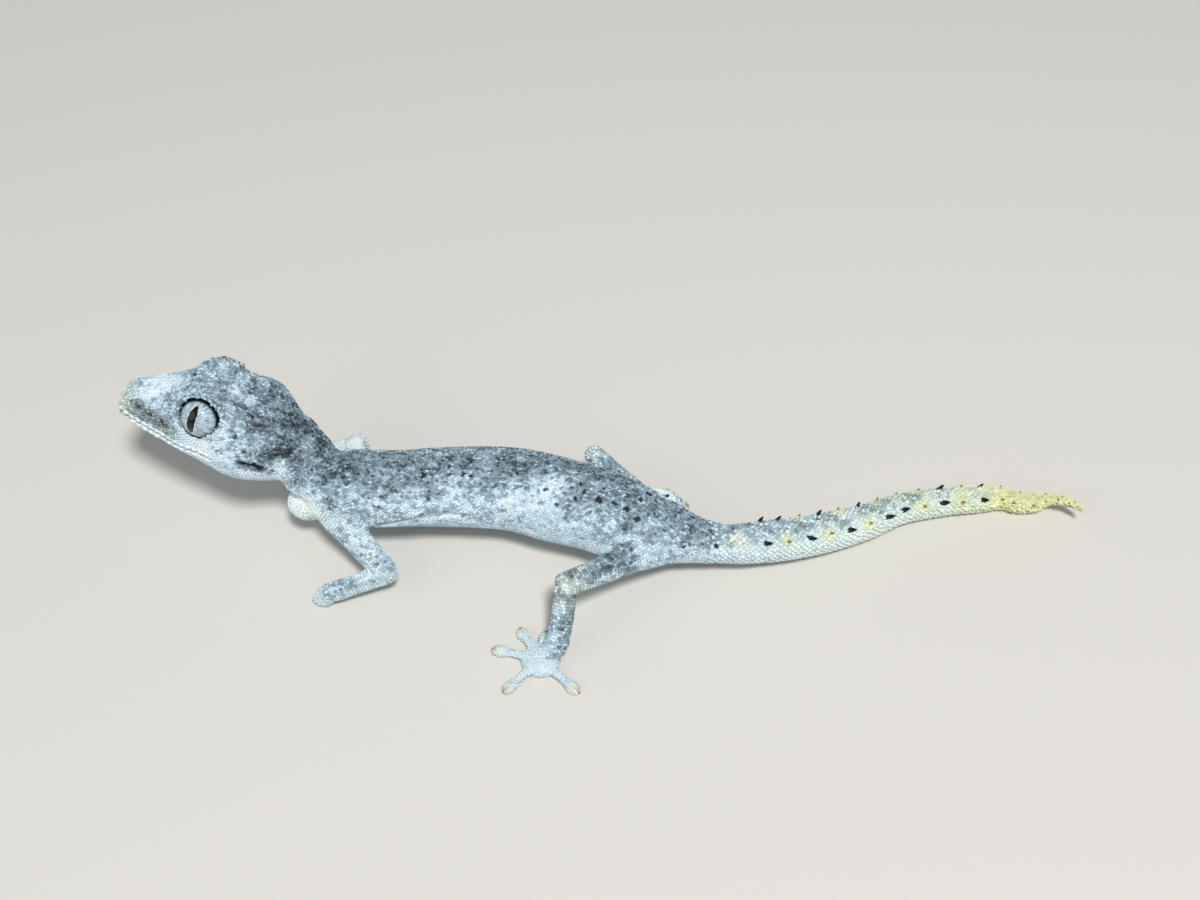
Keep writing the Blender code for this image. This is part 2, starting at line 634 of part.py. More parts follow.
def main():
    for old in list(bpy.data.objects):
        bpy.data.objects.remove(old)
    whole = bpy.data.objects.new("gecko", None)
    bpy.context.scene.collection.objects.link(whole)
    skin = material("skin", SKIN, 0.8)
    tail_skin = material("tail skin", TAIL_SKIN, 0.8)
    tip_skin = material("tail tip skin", TIP_SKIN, 0.8)
    eye = material("eye", EYE_COLOUR, 0.15)
    build_head(skin, eye)
    build_trunk(skin, tail_skin, tip_skin)
    build_limbs(skin)


main()
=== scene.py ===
"""Looks of a still, life-size northern spiny-tailed gecko in mid stride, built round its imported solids.

Lengths are in millimetres of a layout whose floor is Z 0, with the head toward -X and the left side toward
-Y. CENTRE is the place in that layout of the frame's origin, and metres() takes points into the frame.
One skin stands for all the nodes of flesh. Granules, plates, spines, claws and eyes are pieces of their own.
"""

import json
import math

import bmesh
import bpy
import numpy as np
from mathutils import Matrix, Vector, noise
from mathutils.bvhtree import BVHTree

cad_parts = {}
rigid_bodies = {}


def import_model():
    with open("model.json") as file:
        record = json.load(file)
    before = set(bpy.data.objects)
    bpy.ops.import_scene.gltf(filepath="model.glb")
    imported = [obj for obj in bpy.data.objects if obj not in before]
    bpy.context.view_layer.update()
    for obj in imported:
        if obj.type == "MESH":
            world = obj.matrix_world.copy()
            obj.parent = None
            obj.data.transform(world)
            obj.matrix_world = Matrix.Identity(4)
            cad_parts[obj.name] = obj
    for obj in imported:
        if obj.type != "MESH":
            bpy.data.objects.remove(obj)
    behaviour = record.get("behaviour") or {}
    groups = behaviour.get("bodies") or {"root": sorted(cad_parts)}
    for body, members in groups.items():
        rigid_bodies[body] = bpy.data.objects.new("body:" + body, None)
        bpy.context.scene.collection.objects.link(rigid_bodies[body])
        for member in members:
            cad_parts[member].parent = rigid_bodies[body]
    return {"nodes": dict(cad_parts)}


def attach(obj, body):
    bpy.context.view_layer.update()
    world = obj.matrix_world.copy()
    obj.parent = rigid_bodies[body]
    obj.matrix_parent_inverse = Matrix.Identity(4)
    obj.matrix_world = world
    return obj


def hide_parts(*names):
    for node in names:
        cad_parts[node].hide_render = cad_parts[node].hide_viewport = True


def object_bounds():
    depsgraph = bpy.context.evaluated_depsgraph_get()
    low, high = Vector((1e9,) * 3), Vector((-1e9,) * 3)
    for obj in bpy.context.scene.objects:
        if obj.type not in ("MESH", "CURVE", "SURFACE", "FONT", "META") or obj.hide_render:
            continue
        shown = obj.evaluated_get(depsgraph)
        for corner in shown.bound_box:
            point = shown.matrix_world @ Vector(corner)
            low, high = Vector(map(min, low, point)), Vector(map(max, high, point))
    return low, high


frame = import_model()
CAD_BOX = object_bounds()

MM = 0.001
CENTRE = np.array((1.07, -17.44, 0.0))
SEED = 11
EDGE = 0.00002  # how far all pieces stay inside the outline of the solids
BATCH = 20000  # how many points are measured at a time, to save memory

# Camera: the photo's own view, which looks along +Y and down at the layout's origin.
PHOTO_SIZE = (1200, 900)
FOCAL_PIXELS = 1400.0
SENSOR = 36.0
CAMERA_ELEVATION = math.radians(50.0)
CAMERA_DISTANCE = 179.5

# Head: where the tip of the snout is and how the head turns, in degrees.
SNOUT_TIP = (-56.7, -4.2, 14.6)
HEAD_YAW = 10.5
HEAD_PITCH = 8.5
HEAD_ROLL = -4.0
HEAD_LENGTH = 21.0
# Distance behind the tip, half width, height above the line of the mouth, depth below it.
HEAD_PROFILE = (
    (0.5, 1.6, 1.9, 1.1),
    (1.5, 2.3, 3.0, 1.5),
    (3.0, 3.0, 3.7, 1.8),
    (5.0, 3.8, 4.4, 2.2),
    (7.0, 4.4, 5.0, 2.5),
    (9.0, 5.1, 5.8, 2.8),
    (11.0, 5.6, 6.3, 3.0),
    (13.0, 6.2, 6.0, 3.4),
    (15.0, 6.5, 5.4, 3.9),
    (17.0, 6.4, 4.7, 4.3),
    (19.0, 5.6, 3.8, 4.4),
    (21.0, 4.15, 2.7, 4.0),
)
NAPE_START = 15.0
NAPE_SHIFT = 1.25
MOUTH_END = 13.2
EYE_RADIUS = 2.45
EYE_PLACE = (11.5, 3.35, 4.15)
EYE_LOOK = (-0.12, 0.9, 0.42)
RIM_OUT = 1.15
EYE_CUP = ((1.15, 2.8), (1.0, 3.0), (0.6, 3.1), (-0.1, 3.1), (-0.9, 2.95), (-1.8, 2.4), (-2.5, 1.5))
CUP_POLE = -2.9
HEAD_SWELLS = ((11.0, 3.8, 5.2, 3.2, 0.9), (16.0, 6.2, 0.5, 2.6, 0.35), (5.0, 3.3, 1.6, 2.2, -0.3))
EAR_PLACE = (18.0, 6.0, 0.8)
EAR_HALF = (1.55, 0.5)  # half length and half height of the slit of the ear
EAR_SLANT = 0.25
EAR_STEPS = ((-1.1, 0.6), (-0.5, 0.9), (1.8, 1.1))  # distance out from EAR_PLACE and size of the slit there
NOSTRIL_PLACE = (1.1, 1.95, 1.0)
NOSTRIL_RADII = (0.36, 0.36, 0.34)

# Trunk behind the head: x, y, z of its middle, half width, height above, depth below.
TRUNK = (
    (-33.2, -11.0, 8.8, 3.6, 2.7, 3.5),
    (-29.6, -12.0, 7.7, 4.8, 3.9, 4.1),
    (-23.8, -11.7, 6.9, 4.9, 4.0, 4.0),
    (-19.1, -11.2, 6.6, 5.1, 4.1, 4.1),
    (-14.4, -11.1, 6.4, 5.3, 4.2, 4.2),
    (-9.6, -11.4, 6.2, 5.4, 4.2, 4.3),
    (-4.8, -12.8, 6.0, 5.5, 4.3, 4.3),
    (0.0, -14.3, 5.8, 5.3, 4.2, 4.1),
    (4.7, -16.1, 5.4, 4.9, 4.0, 3.7),
    (9.4, -17.2, 4.7, 3.5, 3.1, 2.9),
    (11.8, -17.5, 4.2, 2.75, 2.6, 2.5),
    (14.2, -17.6, 3.8, 2.35, 2.3, 2.2),
    (16.6, -17.4, 3.5, 2.4, 2.35, 2.25),
    (21.4, -16.5, 3.0, 2.55, 2.5, 2.4),
    (26.4, -15.1, 2.35, 2.4, 2.35, 2.3),
    (31.5, -13.3, 2.05, 2.2, 2.15, 2.1),
    (36.7, -10.9, 1.7, 1.85, 1.8, 1.75),
    (41.8, -9.7, 1.6, 1.75, 1.7, 1.65),
    (46.8, -9.2, 1.45, 1.55, 1.5, 1.5),
    (49.4, -8.9, 1.25, 1.35, 1.3, 1.3),
    (51.7, -9.6, 1.15, 1.2, 1.15, 1.2),
    (53.6, -9.6, 1.15, 1.0, 1.0, 1.0),
    (55.3, -9.5, 1.8, 0.7, 0.7, 0.7),
    (57.2, -10.4, 2.4, 0.5, 0.5, 0.5),
    (58.7, -11.8, 2.6, 0.2, 0.2, 0.2),
)
TAIL_START = 11.0
BREAST = (-34.5, -12.4, 5.2)
BREAST_RADII = (2.9, 2.4, 2.3)

# Limbs from root to end: x, y, z, radius. The second length starts where the first one bends.
LEFT_ARM = (
    ((-32.4, -13.2, 6.6, 2.4), (-30.8, -15.5, 5.9, 1.95), (-28.4, -17.9, 4.8, 1.65),
     (-26.0, -20.3, 3.7, 1.5), (-24.9, -21.3, 3.2, 1.4)),
    ((-24.9, -21.3, 3.1, 1.35), (-27.8, -22.2, 2.5, 1.2), (-31.0, -23.0, 1.75, 1.2)),
)
RIGHT_ARM = (
    ((-31.2, -9.2, 7.0, 2.3), (-30.8, -5.5, 5.2, 1.6), (-30.2, -1.8, 3.4, 1.3)),
    ((-30.2, -1.8, 3.3, 1.25), (-33.1, -2.0, 2.4, 1.15), (-35.7, -2.2, 1.6, 1.1)),
)
LEFT_LEG = (
    ((6.8, -18.5, 5.1, 2.7), (3.5, -21.0, 6.0, 2.0), (0.6, -23.1, 6.5, 1.6),
     (-2.2, -24.9, 7.1, 1.45), (-3.8, -25.6, 7.2, 1.35)),
    ((-3.8, -25.7, 7.1, 1.35), (-4.2, -28.2, 4.6, 1.3), (-4.9, -30.4, 2.0, 1.35)),
)
RIGHT_LEG = (
    ((8.0, -13.6, 5.4, 2.15), (3.2, -11.4, 5.9, 1.4), (0.9, -8.1, 6.3, 1.3), (-0.7, -6.3, 6.5, 1.2)),
    ((-0.7, -6.1, 6.4, 1.15), (1.6, -6.9, 4.2, 1.15), (4.4, -8.0, 1.9, 1.2)),
)
LIMBS = {"left_arm": LEFT_ARM, "right_arm": RIGHT_ARM, "left_leg": LEFT_LEG, "right_leg": RIGHT_LEG}
END_LIFTS = np.radians((20, 40, 58, 74))  # where rings stand on the round ends of a limb

# Feet: the middle of the sole, its radii, and for each toe where its pad ends on the floor.
TOE_WIDTH = 0.55
PAD_WIDTH = 0.85
TOE_ROOT = 0.27
FEET = {
    "left_foot": ((-6.7, -31.6, 0.5), (2.3, 2.2, 1.0), LEFT_LEG,
                  ((-6.2, -27.6), (-9.3, -27.2), (-12.3, -30.0), (-10.8, -35.6), (-2.4, -35.7))),
    "right_foot": ((5.4, -8.6, 0.5), (2.0, 1.7, 1.0), RIGHT_LEG,
                   ((4.2, -12.1), (7.5, -12.9), (10.3, -11.9), (11.0, -9.4), (8.7, -7.0))),
    "right_hand": ((-37.1, -2.3, 0.5), (1.7, 1.6, 0.9), RIGHT_ARM,
                   ((-38.0, -4.0), (-40.8, -3.9), (-41.5, -1.7), (-40.1, 0.4), (-37.3, 1.0))),
}
LEFT_HAND_SOLE = (-32.2, -23.1, 0.95)
LEFT_HAND_SPREAD = (-0.85, -0.42, 0.0, 0.42, 0.85)
PALM_WIDTHS = (1.15, 1.25, 1.3)
BENT_TOE_WIDTHS = (0.42, 0.42, 0.36)

# Skin: the size of the voxels that melt the shapes into one, and how far it lies inside the solids.
VOXEL = 0.228
SKIN_IN = 0.1
SMOOTHING_ROUNDS = 14
EYE_SLACK = 0.06
# Places where the skin is drawn smooth between a limb and the body, with their reach.
SOFT_SPOTS = (
    ((-32.9, -14.2, 4.6), 2.2),
    ((-35.2, -10.4, 7.2), 2.4),
    ((-30.6, -7.4, 6.2), 2.4),
    ((-29.4, -15.9, 4.8), 2.2),
    ((3.2, -19.8, 4.6), 2.4),
    ((9.4, -19.2, 4.2), 2.2),
    ((4.2, -11.6, 5.6), 2.2),
    ((9.6, -14.8, 5.2), 2.0),
    ((-34.2, -5.6, 11.2), 2.8),
    ((-37.1, -2.6, 12.8), 2.2),
    ((-36.0, -4.8, 12.4), 2.4),
)
SOFT_ROUNDS = 40
SKIN_WAVES = ((0, 0.22, 0.05), (7, 0.6, 0.03))  # shift, size and height of the skin's unevenness
LIP_FOLD = (0.26, 0.15)  # depth and width of the line of the mouth
LIP_SWELL = (0.07, 0.42, 0.22)  # height of the lips, their distance from that line and their width
CREASE_EDGE = 0.45  # how high the skin rises beside a crease, as a share of its depth
HEAD_END_PIXEL = 330  # creases and marks left of it are made on both sides of the head and neck

# Creases seen in the photo, as pixels of it, with the width and depth of the fold.
CREASES = (
    (((258, 459), (270, 453), (283, 452), (294, 456)), 0.5, 0.42),
    (((297, 466), (295, 476), (290, 487)), 0.45, 0.5),
    (((302, 470), (303, 488)), 0.3, 0.26),
    (((309, 468), (312, 490)), 0.3, 0.2),
    (((318, 462), (322, 480)), 0.35, 0.14),
    (((380, 525), (415, 520), (450, 515), (470, 517)), 0.4, 0.3),
    (((362, 520), (368, 505), (372, 492)), 0.5, 0.2),
    (((592, 556), (612, 552), (640, 556)), 0.6, 0.2),
    (((676, 508), (690, 522), (700, 540)), 0.5, 0.16),
    (((186, 391), (165, 383), (140, 381)), 0.7, -0.22),
    (((222, 404), (236, 418), (246, 436)), 0.9, -0.16),
)

# Fuller places of the nape's far side, as pixels of the photo, with their width and height.
FULLNESS = ((((279, 391), (286, 402), (297, 417), (308, 428), (317, 437)), 2.5, 0.72),)

# Markings seen in the photo, as pixels of it: place, radius in millimetres, and pale (+) or dark (-). Some
# dark ones are painted shade in folds and on the far elbow.
MARKS_AND_SHADE = (
    (150, 392, 1.5, 0.8), (166, 387, 1.4, 0.8), (182, 385, 1.2, 0.5), (176, 402, 0.9, 0.5),
    (150, 412, 1.5, -0.6), (162, 422, 1.3, -0.5), (142, 402, 0.9, -0.3), (134, 391, 0.8, -0.25),
    (219, 378, 0.8, 0.5), (236, 394, 0.8, 0.6), (251, 401, 0.9, 0.6), (263, 383, 0.8, 0.6),
    (205, 368, 0.8, 0.4), (226, 362, 0.9, 0.4), (243, 380, 0.8, 0.4), (228, 410, 0.8, 0.5),
    (200, 376, 1.0, -0.4), (256, 421, 1.5, -0.5), (282, 397, 1.3, -0.4), (292, 426, 1.8, -0.4),
    (240, 372, 0.8, -0.4), (222, 390, 0.8, -0.4), (246, 412, 0.9, -0.4), (272, 408, 0.8, 0.4),
    (232, 431, 1.2, 0.4), (214, 447, 2.4, 0.7), (195, 448, 1.6, 0.5), (240, 446, 1.6, 0.4),
    (262, 438, 1.0, 0.4), (222, 426, 0.6, 0.6), (206, 440, 0.6, 0.4), (284, 464, 1.0, 0.9),
    # Painted shade: dark entries (264, 459) to (293, 459) along the fold above the ear, (297, 471) to (291,
    # 487) and (303, 482) in the neck's folds, and (267, 474) in the notch below the ear.
    (252, 475, 1.4, 0.9), (277, 473, 1.2, 0.7), (264, 459, 0.8, -0.7), (274, 456, 0.9, -0.9),
    (285, 455, 0.9, -0.9), (293, 459, 0.8, -0.7), (297, 471, 0.5, -1.2), (295, 479, 0.5, -1.4),
    (291, 487, 0.5, -1.2), (267, 474, 0.5, -0.8), (240, 461, 0.7, -0.6), (303, 482, 0.4, -0.7),
    (300, 503, 3.0, 1.1), (316, 508, 1.6, 0.9), (330, 428, 1.8, -0.4), (322, 446, 1.2, -0.3),
    (346, 470, 1.8, -0.3), (340, 492, 1.6, 0.3), (424, 475, 1.1, -0.8), (436, 470, 1.4, 0.4),
    (400, 478, 1.2, -0.4), (388, 470, 1.2, 0.2), (452, 480, 1.3, 0.4), (456, 496, 1.6, 0.3),
    (484, 474, 1.2, 0.3), (472, 462, 1.3, -0.3), (500, 486, 1.4, 0.3), (545, 489, 2.0, 1.2),
    (557, 484, 1.0, 0.8), (522, 484, 1.2, 0.4), (520, 505, 1.8, 0.4), (505, 463, 1.5, -0.4),
    (560, 470, 1.5, -0.4), (569, 478, 0.9, -0.5), (590, 505, 1.4, 0.3), (610, 522, 1.5, 0.4),
    (651, 521, 1.2, 0.4), (660, 491, 1.7, 1.3), (650, 540, 1.4, -0.4), (620, 560, 1.3, -0.4),
    (592, 578, 1.0, -0.5), (606, 566, 0.9, -0.5), (628, 572, 1.0, -0.4), (737, 541, 1.3, 0.6),
    (700, 525, 1.2, -0.3), (355, 590, 0.8, -0.7), (373, 580, 0.7, -0.5), (336, 590, 0.7, -0.5),
    # Painted shadow: (366, 447), the dark end of the far elbow.
    (322, 592, 0.8, -0.4), (389, 566, 0.7, -0.3), (366, 447, 0.7, -1.2), (354, 440, 0.8, 0.5),
    (546, 489, 0.3, -2.4), (557, 505, 0.24, -1.8), (538, 492, 0.22, -1.6), (575, 499, 0.22, -1.6),
    (584, 492, 0.25, -1.8), (599, 500, 0.37, -2.8), (627, 509, 0.35, -2.6), (638, 519, 0.28, -2.0),
    (614, 503, 0.2, -1.5), (649, 494, 0.35, -2.8), (667, 496, 0.35, -2.8), (656, 501, 0.2, -1.6),
    (424, 475, 0.28, -2.0), (463, 474, 0.25, -1.9), (472, 476, 0.25, -1.8), (717, 546, 0.26, -2.0),
    (564, 493, 0.2, -1.5), (571, 488, 0.2, -1.4), (551, 478, 0.2, -1.4), (604, 488, 0.2, -1.4),
    (660, 487, 0.2, -1.6), (641, 500, 0.22, -1.5), (618, 520, 0.2, -1.4), (590, 512, 0.18, -1.3),
)
HALO_RADIUS = 2.1  # of a dark dot's pale ring, as a share of the dot
HALO_PALE = 0.55  # how much paler that ring is
DOT_RADIUS = 0.4  # marks smaller than this are dots with a pale ring
# Painted shade: the opening of the ear is darkened as by the shade inside it.
EAR_SHADE = 3.2  # how dark the opening of the ear is
LIP_PALE = (0.55, 0.42, 0.24)  # strength, distance from the line of the mouth and width of the pale edge
# Painted shade in the groove of the mouth's line.
LIP_LINE_SHADE = (1.3, 0.1)  # strength and width of the line itself
# Yellow places of the skin on the tail, as pixels of the photo and radius.
YELLOW_SPOTS = ((737, 541, 1.3), (782, 541, 0.8))

# Granules: spacing in millimetres on each region, and their height as a share of the spacing.
SPACING = {
    "head": 0.31, "body": 0.34, "tail": 0.5, "left_arm": 0.4, "right_arm": 0.4, "left_leg": 0.42,
    "right_leg": 0.42, "left_hand": 0.3, "right_hand": 0.3, "left_foot": 0.3, "right_foot": 0.3,
}
GRANULE_HEIGHT = 0.3
# On limbs the granules stand in rings. Elsewhere their rows cross. Steps along and around, and how far
# a granule strays from its row, all as shares of the spacing.
RING_STEPS = (0.87, 1.0, 0.04)
CROSS_STEPS = (0.72, 1.4, 0.11)
GRANULE_COVER = 0.54  # radius as a share of the distance to the neighbours
ROW_CLEARANCE = 0.72  # least distance between granules of rows, as a share of the spacing
FREE_CLEARANCE = 0.8  # the same for granules that fill what the rows leave bare
FREE_SIZE = 0.97  # of those to the ones in rows
FREE_TRIES = 260000
DOME_SIDES = 6
DOME_RINGS = ((1.0, -0.35, 1.0), (0.8, 0.62, 0.2))  # width, height and how deep in shade each ring lies
DOME_POINTS = len(DOME_RINGS) * DOME_SIDES + 1
DOME_HEIGHTS = (0.85, 1.15)
DOME_WIDTHS = (0.93, 1.07)
TIP_BACK = 0.15  # how far back the top of a dome lies, as a share of its half length
GRANULE_TILT = 0.12
TILTS = {"head": 0.05, "tail": 0.3, "left_leg": 0.3, "right_leg": 0.3, "left_arm": 0.25}
GRID_CELL = 0.42
SURFACE_SLACK = 0.75  # how far from the skin a granule's planned place may lie
PLATE_CLEARANCE = 0.62  # least distance round a plate, as a share of its two half sizes together
LEAST_ROUND = 5  # granules of a row
# Where no granules are: on the floor, in the line of the mouth and round the eyes, ears and nostrils.
BARE_HEIGHT = 0.1
BARE_FACING = -0.6
MOUTH_BARE = 0.13
EYE_BARE = 0.22
EAR_BARE = 2.0
NOSTRIL_BARE = 0.38
# Plates along each lip: how many, where they begin behind the snout, their step and height over the mouth.
LIP_COUNT = 15
LIP_START = 0.75
LIP_STEP = 0.86
LIP_LIFTS = (-0.42, 0.44)
LIP_PLATE = (0.47, 0.31)  # half sizes of the first plate
LIP_LESS = (0.1, 0.06)  # and how much smaller the last one is
SNOUT_PLATES = ((0.45, 0.5), (-0.42, 0.42))  # height above the mouth and half width
SNOUT_PLATE_BEHIND = 0.1
SNOUT_PLATE_HALF = 0.3
RIM_COUNT = 44
RIM_ROWS = ((1.16, 2.74, 0.19, 0.0), (0.98, 3.02, 0.2, 0.5))  # distance toward the look, radius, size, shift

# Dark zones of the head: how dark, and where each fades in behind the snout, above the mouth and aside.
HEAD_ZONES = {
    "crown": (0.7, ((3.0, 7.5),), ((2.4, 4.2),), ()),
    "lore": (0.88, ((1.0, 3.0), (9.8, 7.4)), ((0.3, 0.9), (3.3, 2.1)), ((0.6, 1.8),)),
    "bridge": (0.45, ((7.5, 5.0),), ((2.6, 3.6),), ((1.9, 0.5),)),
    "temple": (0.95, ((11.5, 15.5),), ((1.0, 3.0),), ()),
    "nape": (1.05, ((16.2, 19.0),), ((-1.3, 0.6),), ()),
    "jaw": (0.2, ((11.0, 15.0),), ((2.0, 0.6), (-1.8, 0.2)), ()),
    "tip": (0.28, ((3.4, 0.6),), (), ()),
}
HEAD_YELLOW = {"tip": 0.48, "lore": 0.3}
THROAT = (-1.8, -3.6)  # above the mouth, where the warm tint of the throat starts and is full

DARK_MIDDLE = 14.0  # degrees that the middle of the dark back lies to the right of the top
# How far round from there the dark reaches, in degrees, at some places along X.
DARK_REACH = ((-36.0, 80.0), (-30.0, 66.0), (-22.0, 54.0), (-10.0, 48.0), (-4.0, 56.0), (3.0, 61.0),
              (10.0, 60.0), (15.0, 48.0), (24.0, 36.0), (60.0, 28.0))
DARK_WAVES = ((0.24, 22.0), (0.7, 16.0))  # noise size and how far, in degrees, it shifts that edge
# How dark the back is along X.
DARK_STRENGTH = ((-36.0, 1.15), (-30.0, 1.12), (-24.0, 1.02), (-18.0, 0.94), (-10.0, 1.02), (-2.0, 1.12),
                 (4.0, 1.12), (10.0, 1.0), (16.0, 0.72), (24.0, 0.6), (40.0, 0.5), (48.0, 0.3), (60.0, 0.3))
# How dark the flank is, and how that changes along X, as from, to and change.
FLANK_DARK = 0.27
FLANK_STEPS = ((-14, -26, 0.08), (-13, -6, -0.19), (-3, 3, 0.07))
FLANK_AROUND = (128, 84)  # degrees from the middle of the dark
FLANK_END = (20, 10)
LEAST_DARK = 0.06  # of the sides and belly
TAIL_PALE = 0.2  # how much paler the skin gets along this part of X
TAIL_PALE_REACH = (13, 21)
BELLY_AROUND = (128, 158)  # degrees from the top
UNDERSIDE = (130, 160)  # degrees from the top of a limb
# Distances along a leg where the tones of its parts fade in and out.
THIGH = ((3.0, 6.0), (12.5, 9.0))
KNEE = ((9.8, 11.6), (17.0, 14.5))
SHANK = ((13.5, 15.5), (22.5, 20.0))
PAD_REACH = 1.1  # of the yellower skin round the end of a toe
YELLOW_STRENGTH = ((-36.0, 0.0), (11.0, 0.02), (18.0, 0.12), (30.0, 0.26), (42.0, 0.42), (46.0, 0.62),
                   (50.0, 1.05), (60.0, 1.5))

SPINE_ROWS = (-40.0, 40.0)
SPINE_START = 19.0
SPINE_LENGTH = 1.05
SPINE_RADIUS = 0.36
SPINE_SWEEP = 0.95
PATCH_REACH = 0.95  # of the yellow skin round a yellow spine
YELLOW_SIZE = 0.75  # of a yellow spine to a black one
# Distance from each spine to the next, and whether it is black or yellow.
LEFT_SPINES = ((0.0, "k"), (2.45, "y"), (2.85, "k"), (2.6, "y"), (2.7, "k"), (2.5, "y"), (2.85, "k"),
               (2.5, "k"), (2.7, "y"), (2.75, "k"), (2.25, "y"), (2.85, "k"), (2.25, "y"), (1.9, "y"),
               (2.15, "y"), (1.9, "y"), (1.65, "y"), (1.4, "y"), (1.1, "y"))
RIGHT_SPINES = ((0.0, "k"), (2.25, "k"), (2.7, "y"), (2.7, "k"), (2.75, "y"), (2.75, "k"), (2.7, "y"),
                (2.7, "y"), (2.75, "y"), (2.75, "k"), (2.5, "y"), (2.5, "k"), (2.4, "y"), (2.2, "y"),
                (2.0, "y"), (1.8, "y"), (1.7, "y"), (1.5, "y"))
RIGHT_SIZE = 0.8  # of the right row's spines to the left row's
FOOT_POINTS = 4  # small ones round the foot of each spine
FOOT_POINT = (0.4, 0.17, 0.7)  # their length, radius and sweep
# Small points all along the tail: degrees from the top of their rows, and the step along it.
POINT_ROWS = (-75, -58, -22, -8, 8, 22, 58, 75)
POINT_STEP = 0.42
POINTS_AHEAD = 6.0  # how far before the spines they begin
POINT_CHANCES = (0.45, 0.4)  # that there is one, and how much likelier that gets toward the tip
POINTS_CLOSE = 24.0  # how far behind the first spine that starts
POINT_LENGTHS = (0.22, 0.42)
POINTS_GROW = (20.0, 32.0)  # behind the first spine, where they start to get longer and are longest
POINT_GROWTH = 1.1
POINT_RADIUS = 0.13
POINT_SWEEP = 0.9
CONE_SWAY = 0.15  # how unevenly the spines and points lean
BROW_OUT = 0.42
BROW_RADIUS = 0.2
BROW_SPINES = ((38.0, 0.35), (52.0, 0.5), (66.0, 0.62), (82.0, 0.62), (98.0, 0.5), (114.0, 0.35))

PUPIL_PIXEL = (190.8, 421.0)
PUPIL_HALF = (0.5, 1.75)  # half width and half height of the slit
PUPIL_WAVES = (9.0, 0.025)  # how close and how high the waves of its edge are
CLAW_LENGTH = 0.42
CLAW_RADIUS = 0.09
CONE_SIDES = 10
CONE_RINGS = 6  # above its foot
CONE_POINTS = (CONE_RINGS + 1) * CONE_SIDES + 1
FOOT_DEPTH = 0.25  # how deep a cone's foot is sunk, as a share of its length
FOOT_WIDTH = 1.25  # of the foot to the cone

# The shade of the skin: what the dark share of its tone adds, and how strong mottling and lines are there.
SHADE_OF_DARK = (0.5, 0.06)
PATCHY = (0.0, 0.32, 0.28, 1.0)
SPECKS = ((0.42, 2.0, 0.75), (1.35, 2.0, 1.6), (3.6, 0.0, 1.15))  # noise size, detail and strength
SPECK_STRETCH = (0.65, 1.0, 1.0)
LINE_NOISE = (0.8, 3.0, 0.6, 0.5)
LINE_WIDTH = 0.045
LINE_DARK = 0.22
DOT_CELLS = 0.5
DOT_EDGE = (0.16, 0.1)
DOT_DARK = 0.5
MARK_SHADE = 0.42
# Painted shade in the crevices between granules: how far the lowest ring of each granule, and the skin
# between them, is darkened toward its colour.
DEEP_SHADE = 0.3

# Light: place in metres, size and power.
LIGHTS = {"key": ((0.1, -0.26, 0.62), 0.13, 3.9), "fill": ((-0.5, -0.25, 0.35), 0.5, 0.6)}
SKY = (0.86, 0.93, 1.0, 1.0)
SKY_STRENGTH = 0.3
FLOOR_HALF = 1.5
CLIP_START = 0.001

BODY_MIDDLE = -11.0  # X where the granules of the body are parted into two pieces
PATCH = 0.003  # across a granule in the bake map
FLAT_MARGIN = 1.6  # round the line through a foot, in millimetres
# Each bone's part of the bake map: low and high corner.
CHARTS = {
    "body": (0.0, 0.0, 0.62, 0.42), "head": (0.63, 0.0, 1.0, 0.42), "tail": (0.0, 0.43, 0.66, 0.63),
    "left_hand": (0.67, 0.43, 0.83, 0.53), "right_hand": (0.84, 0.43, 1.0, 0.53),
    "left_foot": (0.67, 0.54, 0.83, 0.63), "right_foot": (0.84, 0.54, 1.0, 0.63),
    "left_arm": (0.0, 0.65, 0.49, 0.81), "right_arm": (0.51, 0.65, 1.0, 0.81),
    "left_leg": (0.0, 0.83, 0.49, 1.0), "right_leg": (0.51, 0.83, 1.0, 1.0),
}
FLAT_CHARTS = ("left_hand", "right_hand", "left_foot", "right_foot")
# Pieces of granules, with their bones and the part of X that they cover.
ALL_X = (-math.inf, math.inf)
PIECES = {
    "granules_head": (("head",), ALL_X), "granules_body_front": (("body",), (-math.inf, BODY_MIDDLE)),
    "granules_body_rear": (("body",), (BODY_MIDDLE, math.inf)), "granules_tail": (("tail",), ALL_X),
    "granules_arms": (("left_arm", "right_arm"), ALL_X),
    "granules_legs": (("left_leg", "right_leg"), ALL_X), "granules_feet": (FLAT_CHARTS, ALL_X),
}


def colour(red, green, blue):
    """A shader's colour from the 0 to 255 values of a picture."""
    values = np.array((red, green, blue)) / 255.0
    linear = np.where(values <= 0.04045, values / 12.92, ((values + 0.055) / 1.055) ** 2.4)
    return (*linear, 1.0)


# The skin from its palest to its darkest, with how dark each colour is.
SKIN_COLOURS = (
    (-0.35, colour(244, 253, 254)),
    (-0.05, colour(224, 243, 252)),
    (0.2, colour(196, 218, 232)),
    (0.42, colour(155, 179, 191)),
    (0.62, colour(119, 142, 152)),
    (0.82, colour(88, 107, 116)),
    (1.05, colour(56, 69, 76)),
    (1.3, colour(26, 32, 36)),
)
YELLOW_TINT = (1.16, 0.96, 0.5, 1.0)
WARM_TINT = (1.0, 0.995, 0.98, 1.0)
# Colour of the painted shade in the crevices between granules.
CREVICE_SHADE_COLOUR = (0.03, 0.035, 0.04, 1.0)
# The colours of a spine's foot and tip.
SPINE_COLOURS = {
    "dark spine": (colour(46, 50, 50), colour(8, 9, 11)),
    "yellow spine": (colour(228, 230, 158), colour(128, 116, 62)),
    "brow spine": (colour(178, 200, 212), colour(112, 126, 134)),
}
CLAW_COLOUR = colour(176, 178, 160)
IRIS = colour(200, 222, 232)
RAYS = colour(112, 134, 146)
VEINS = colour(98, 104, 112)
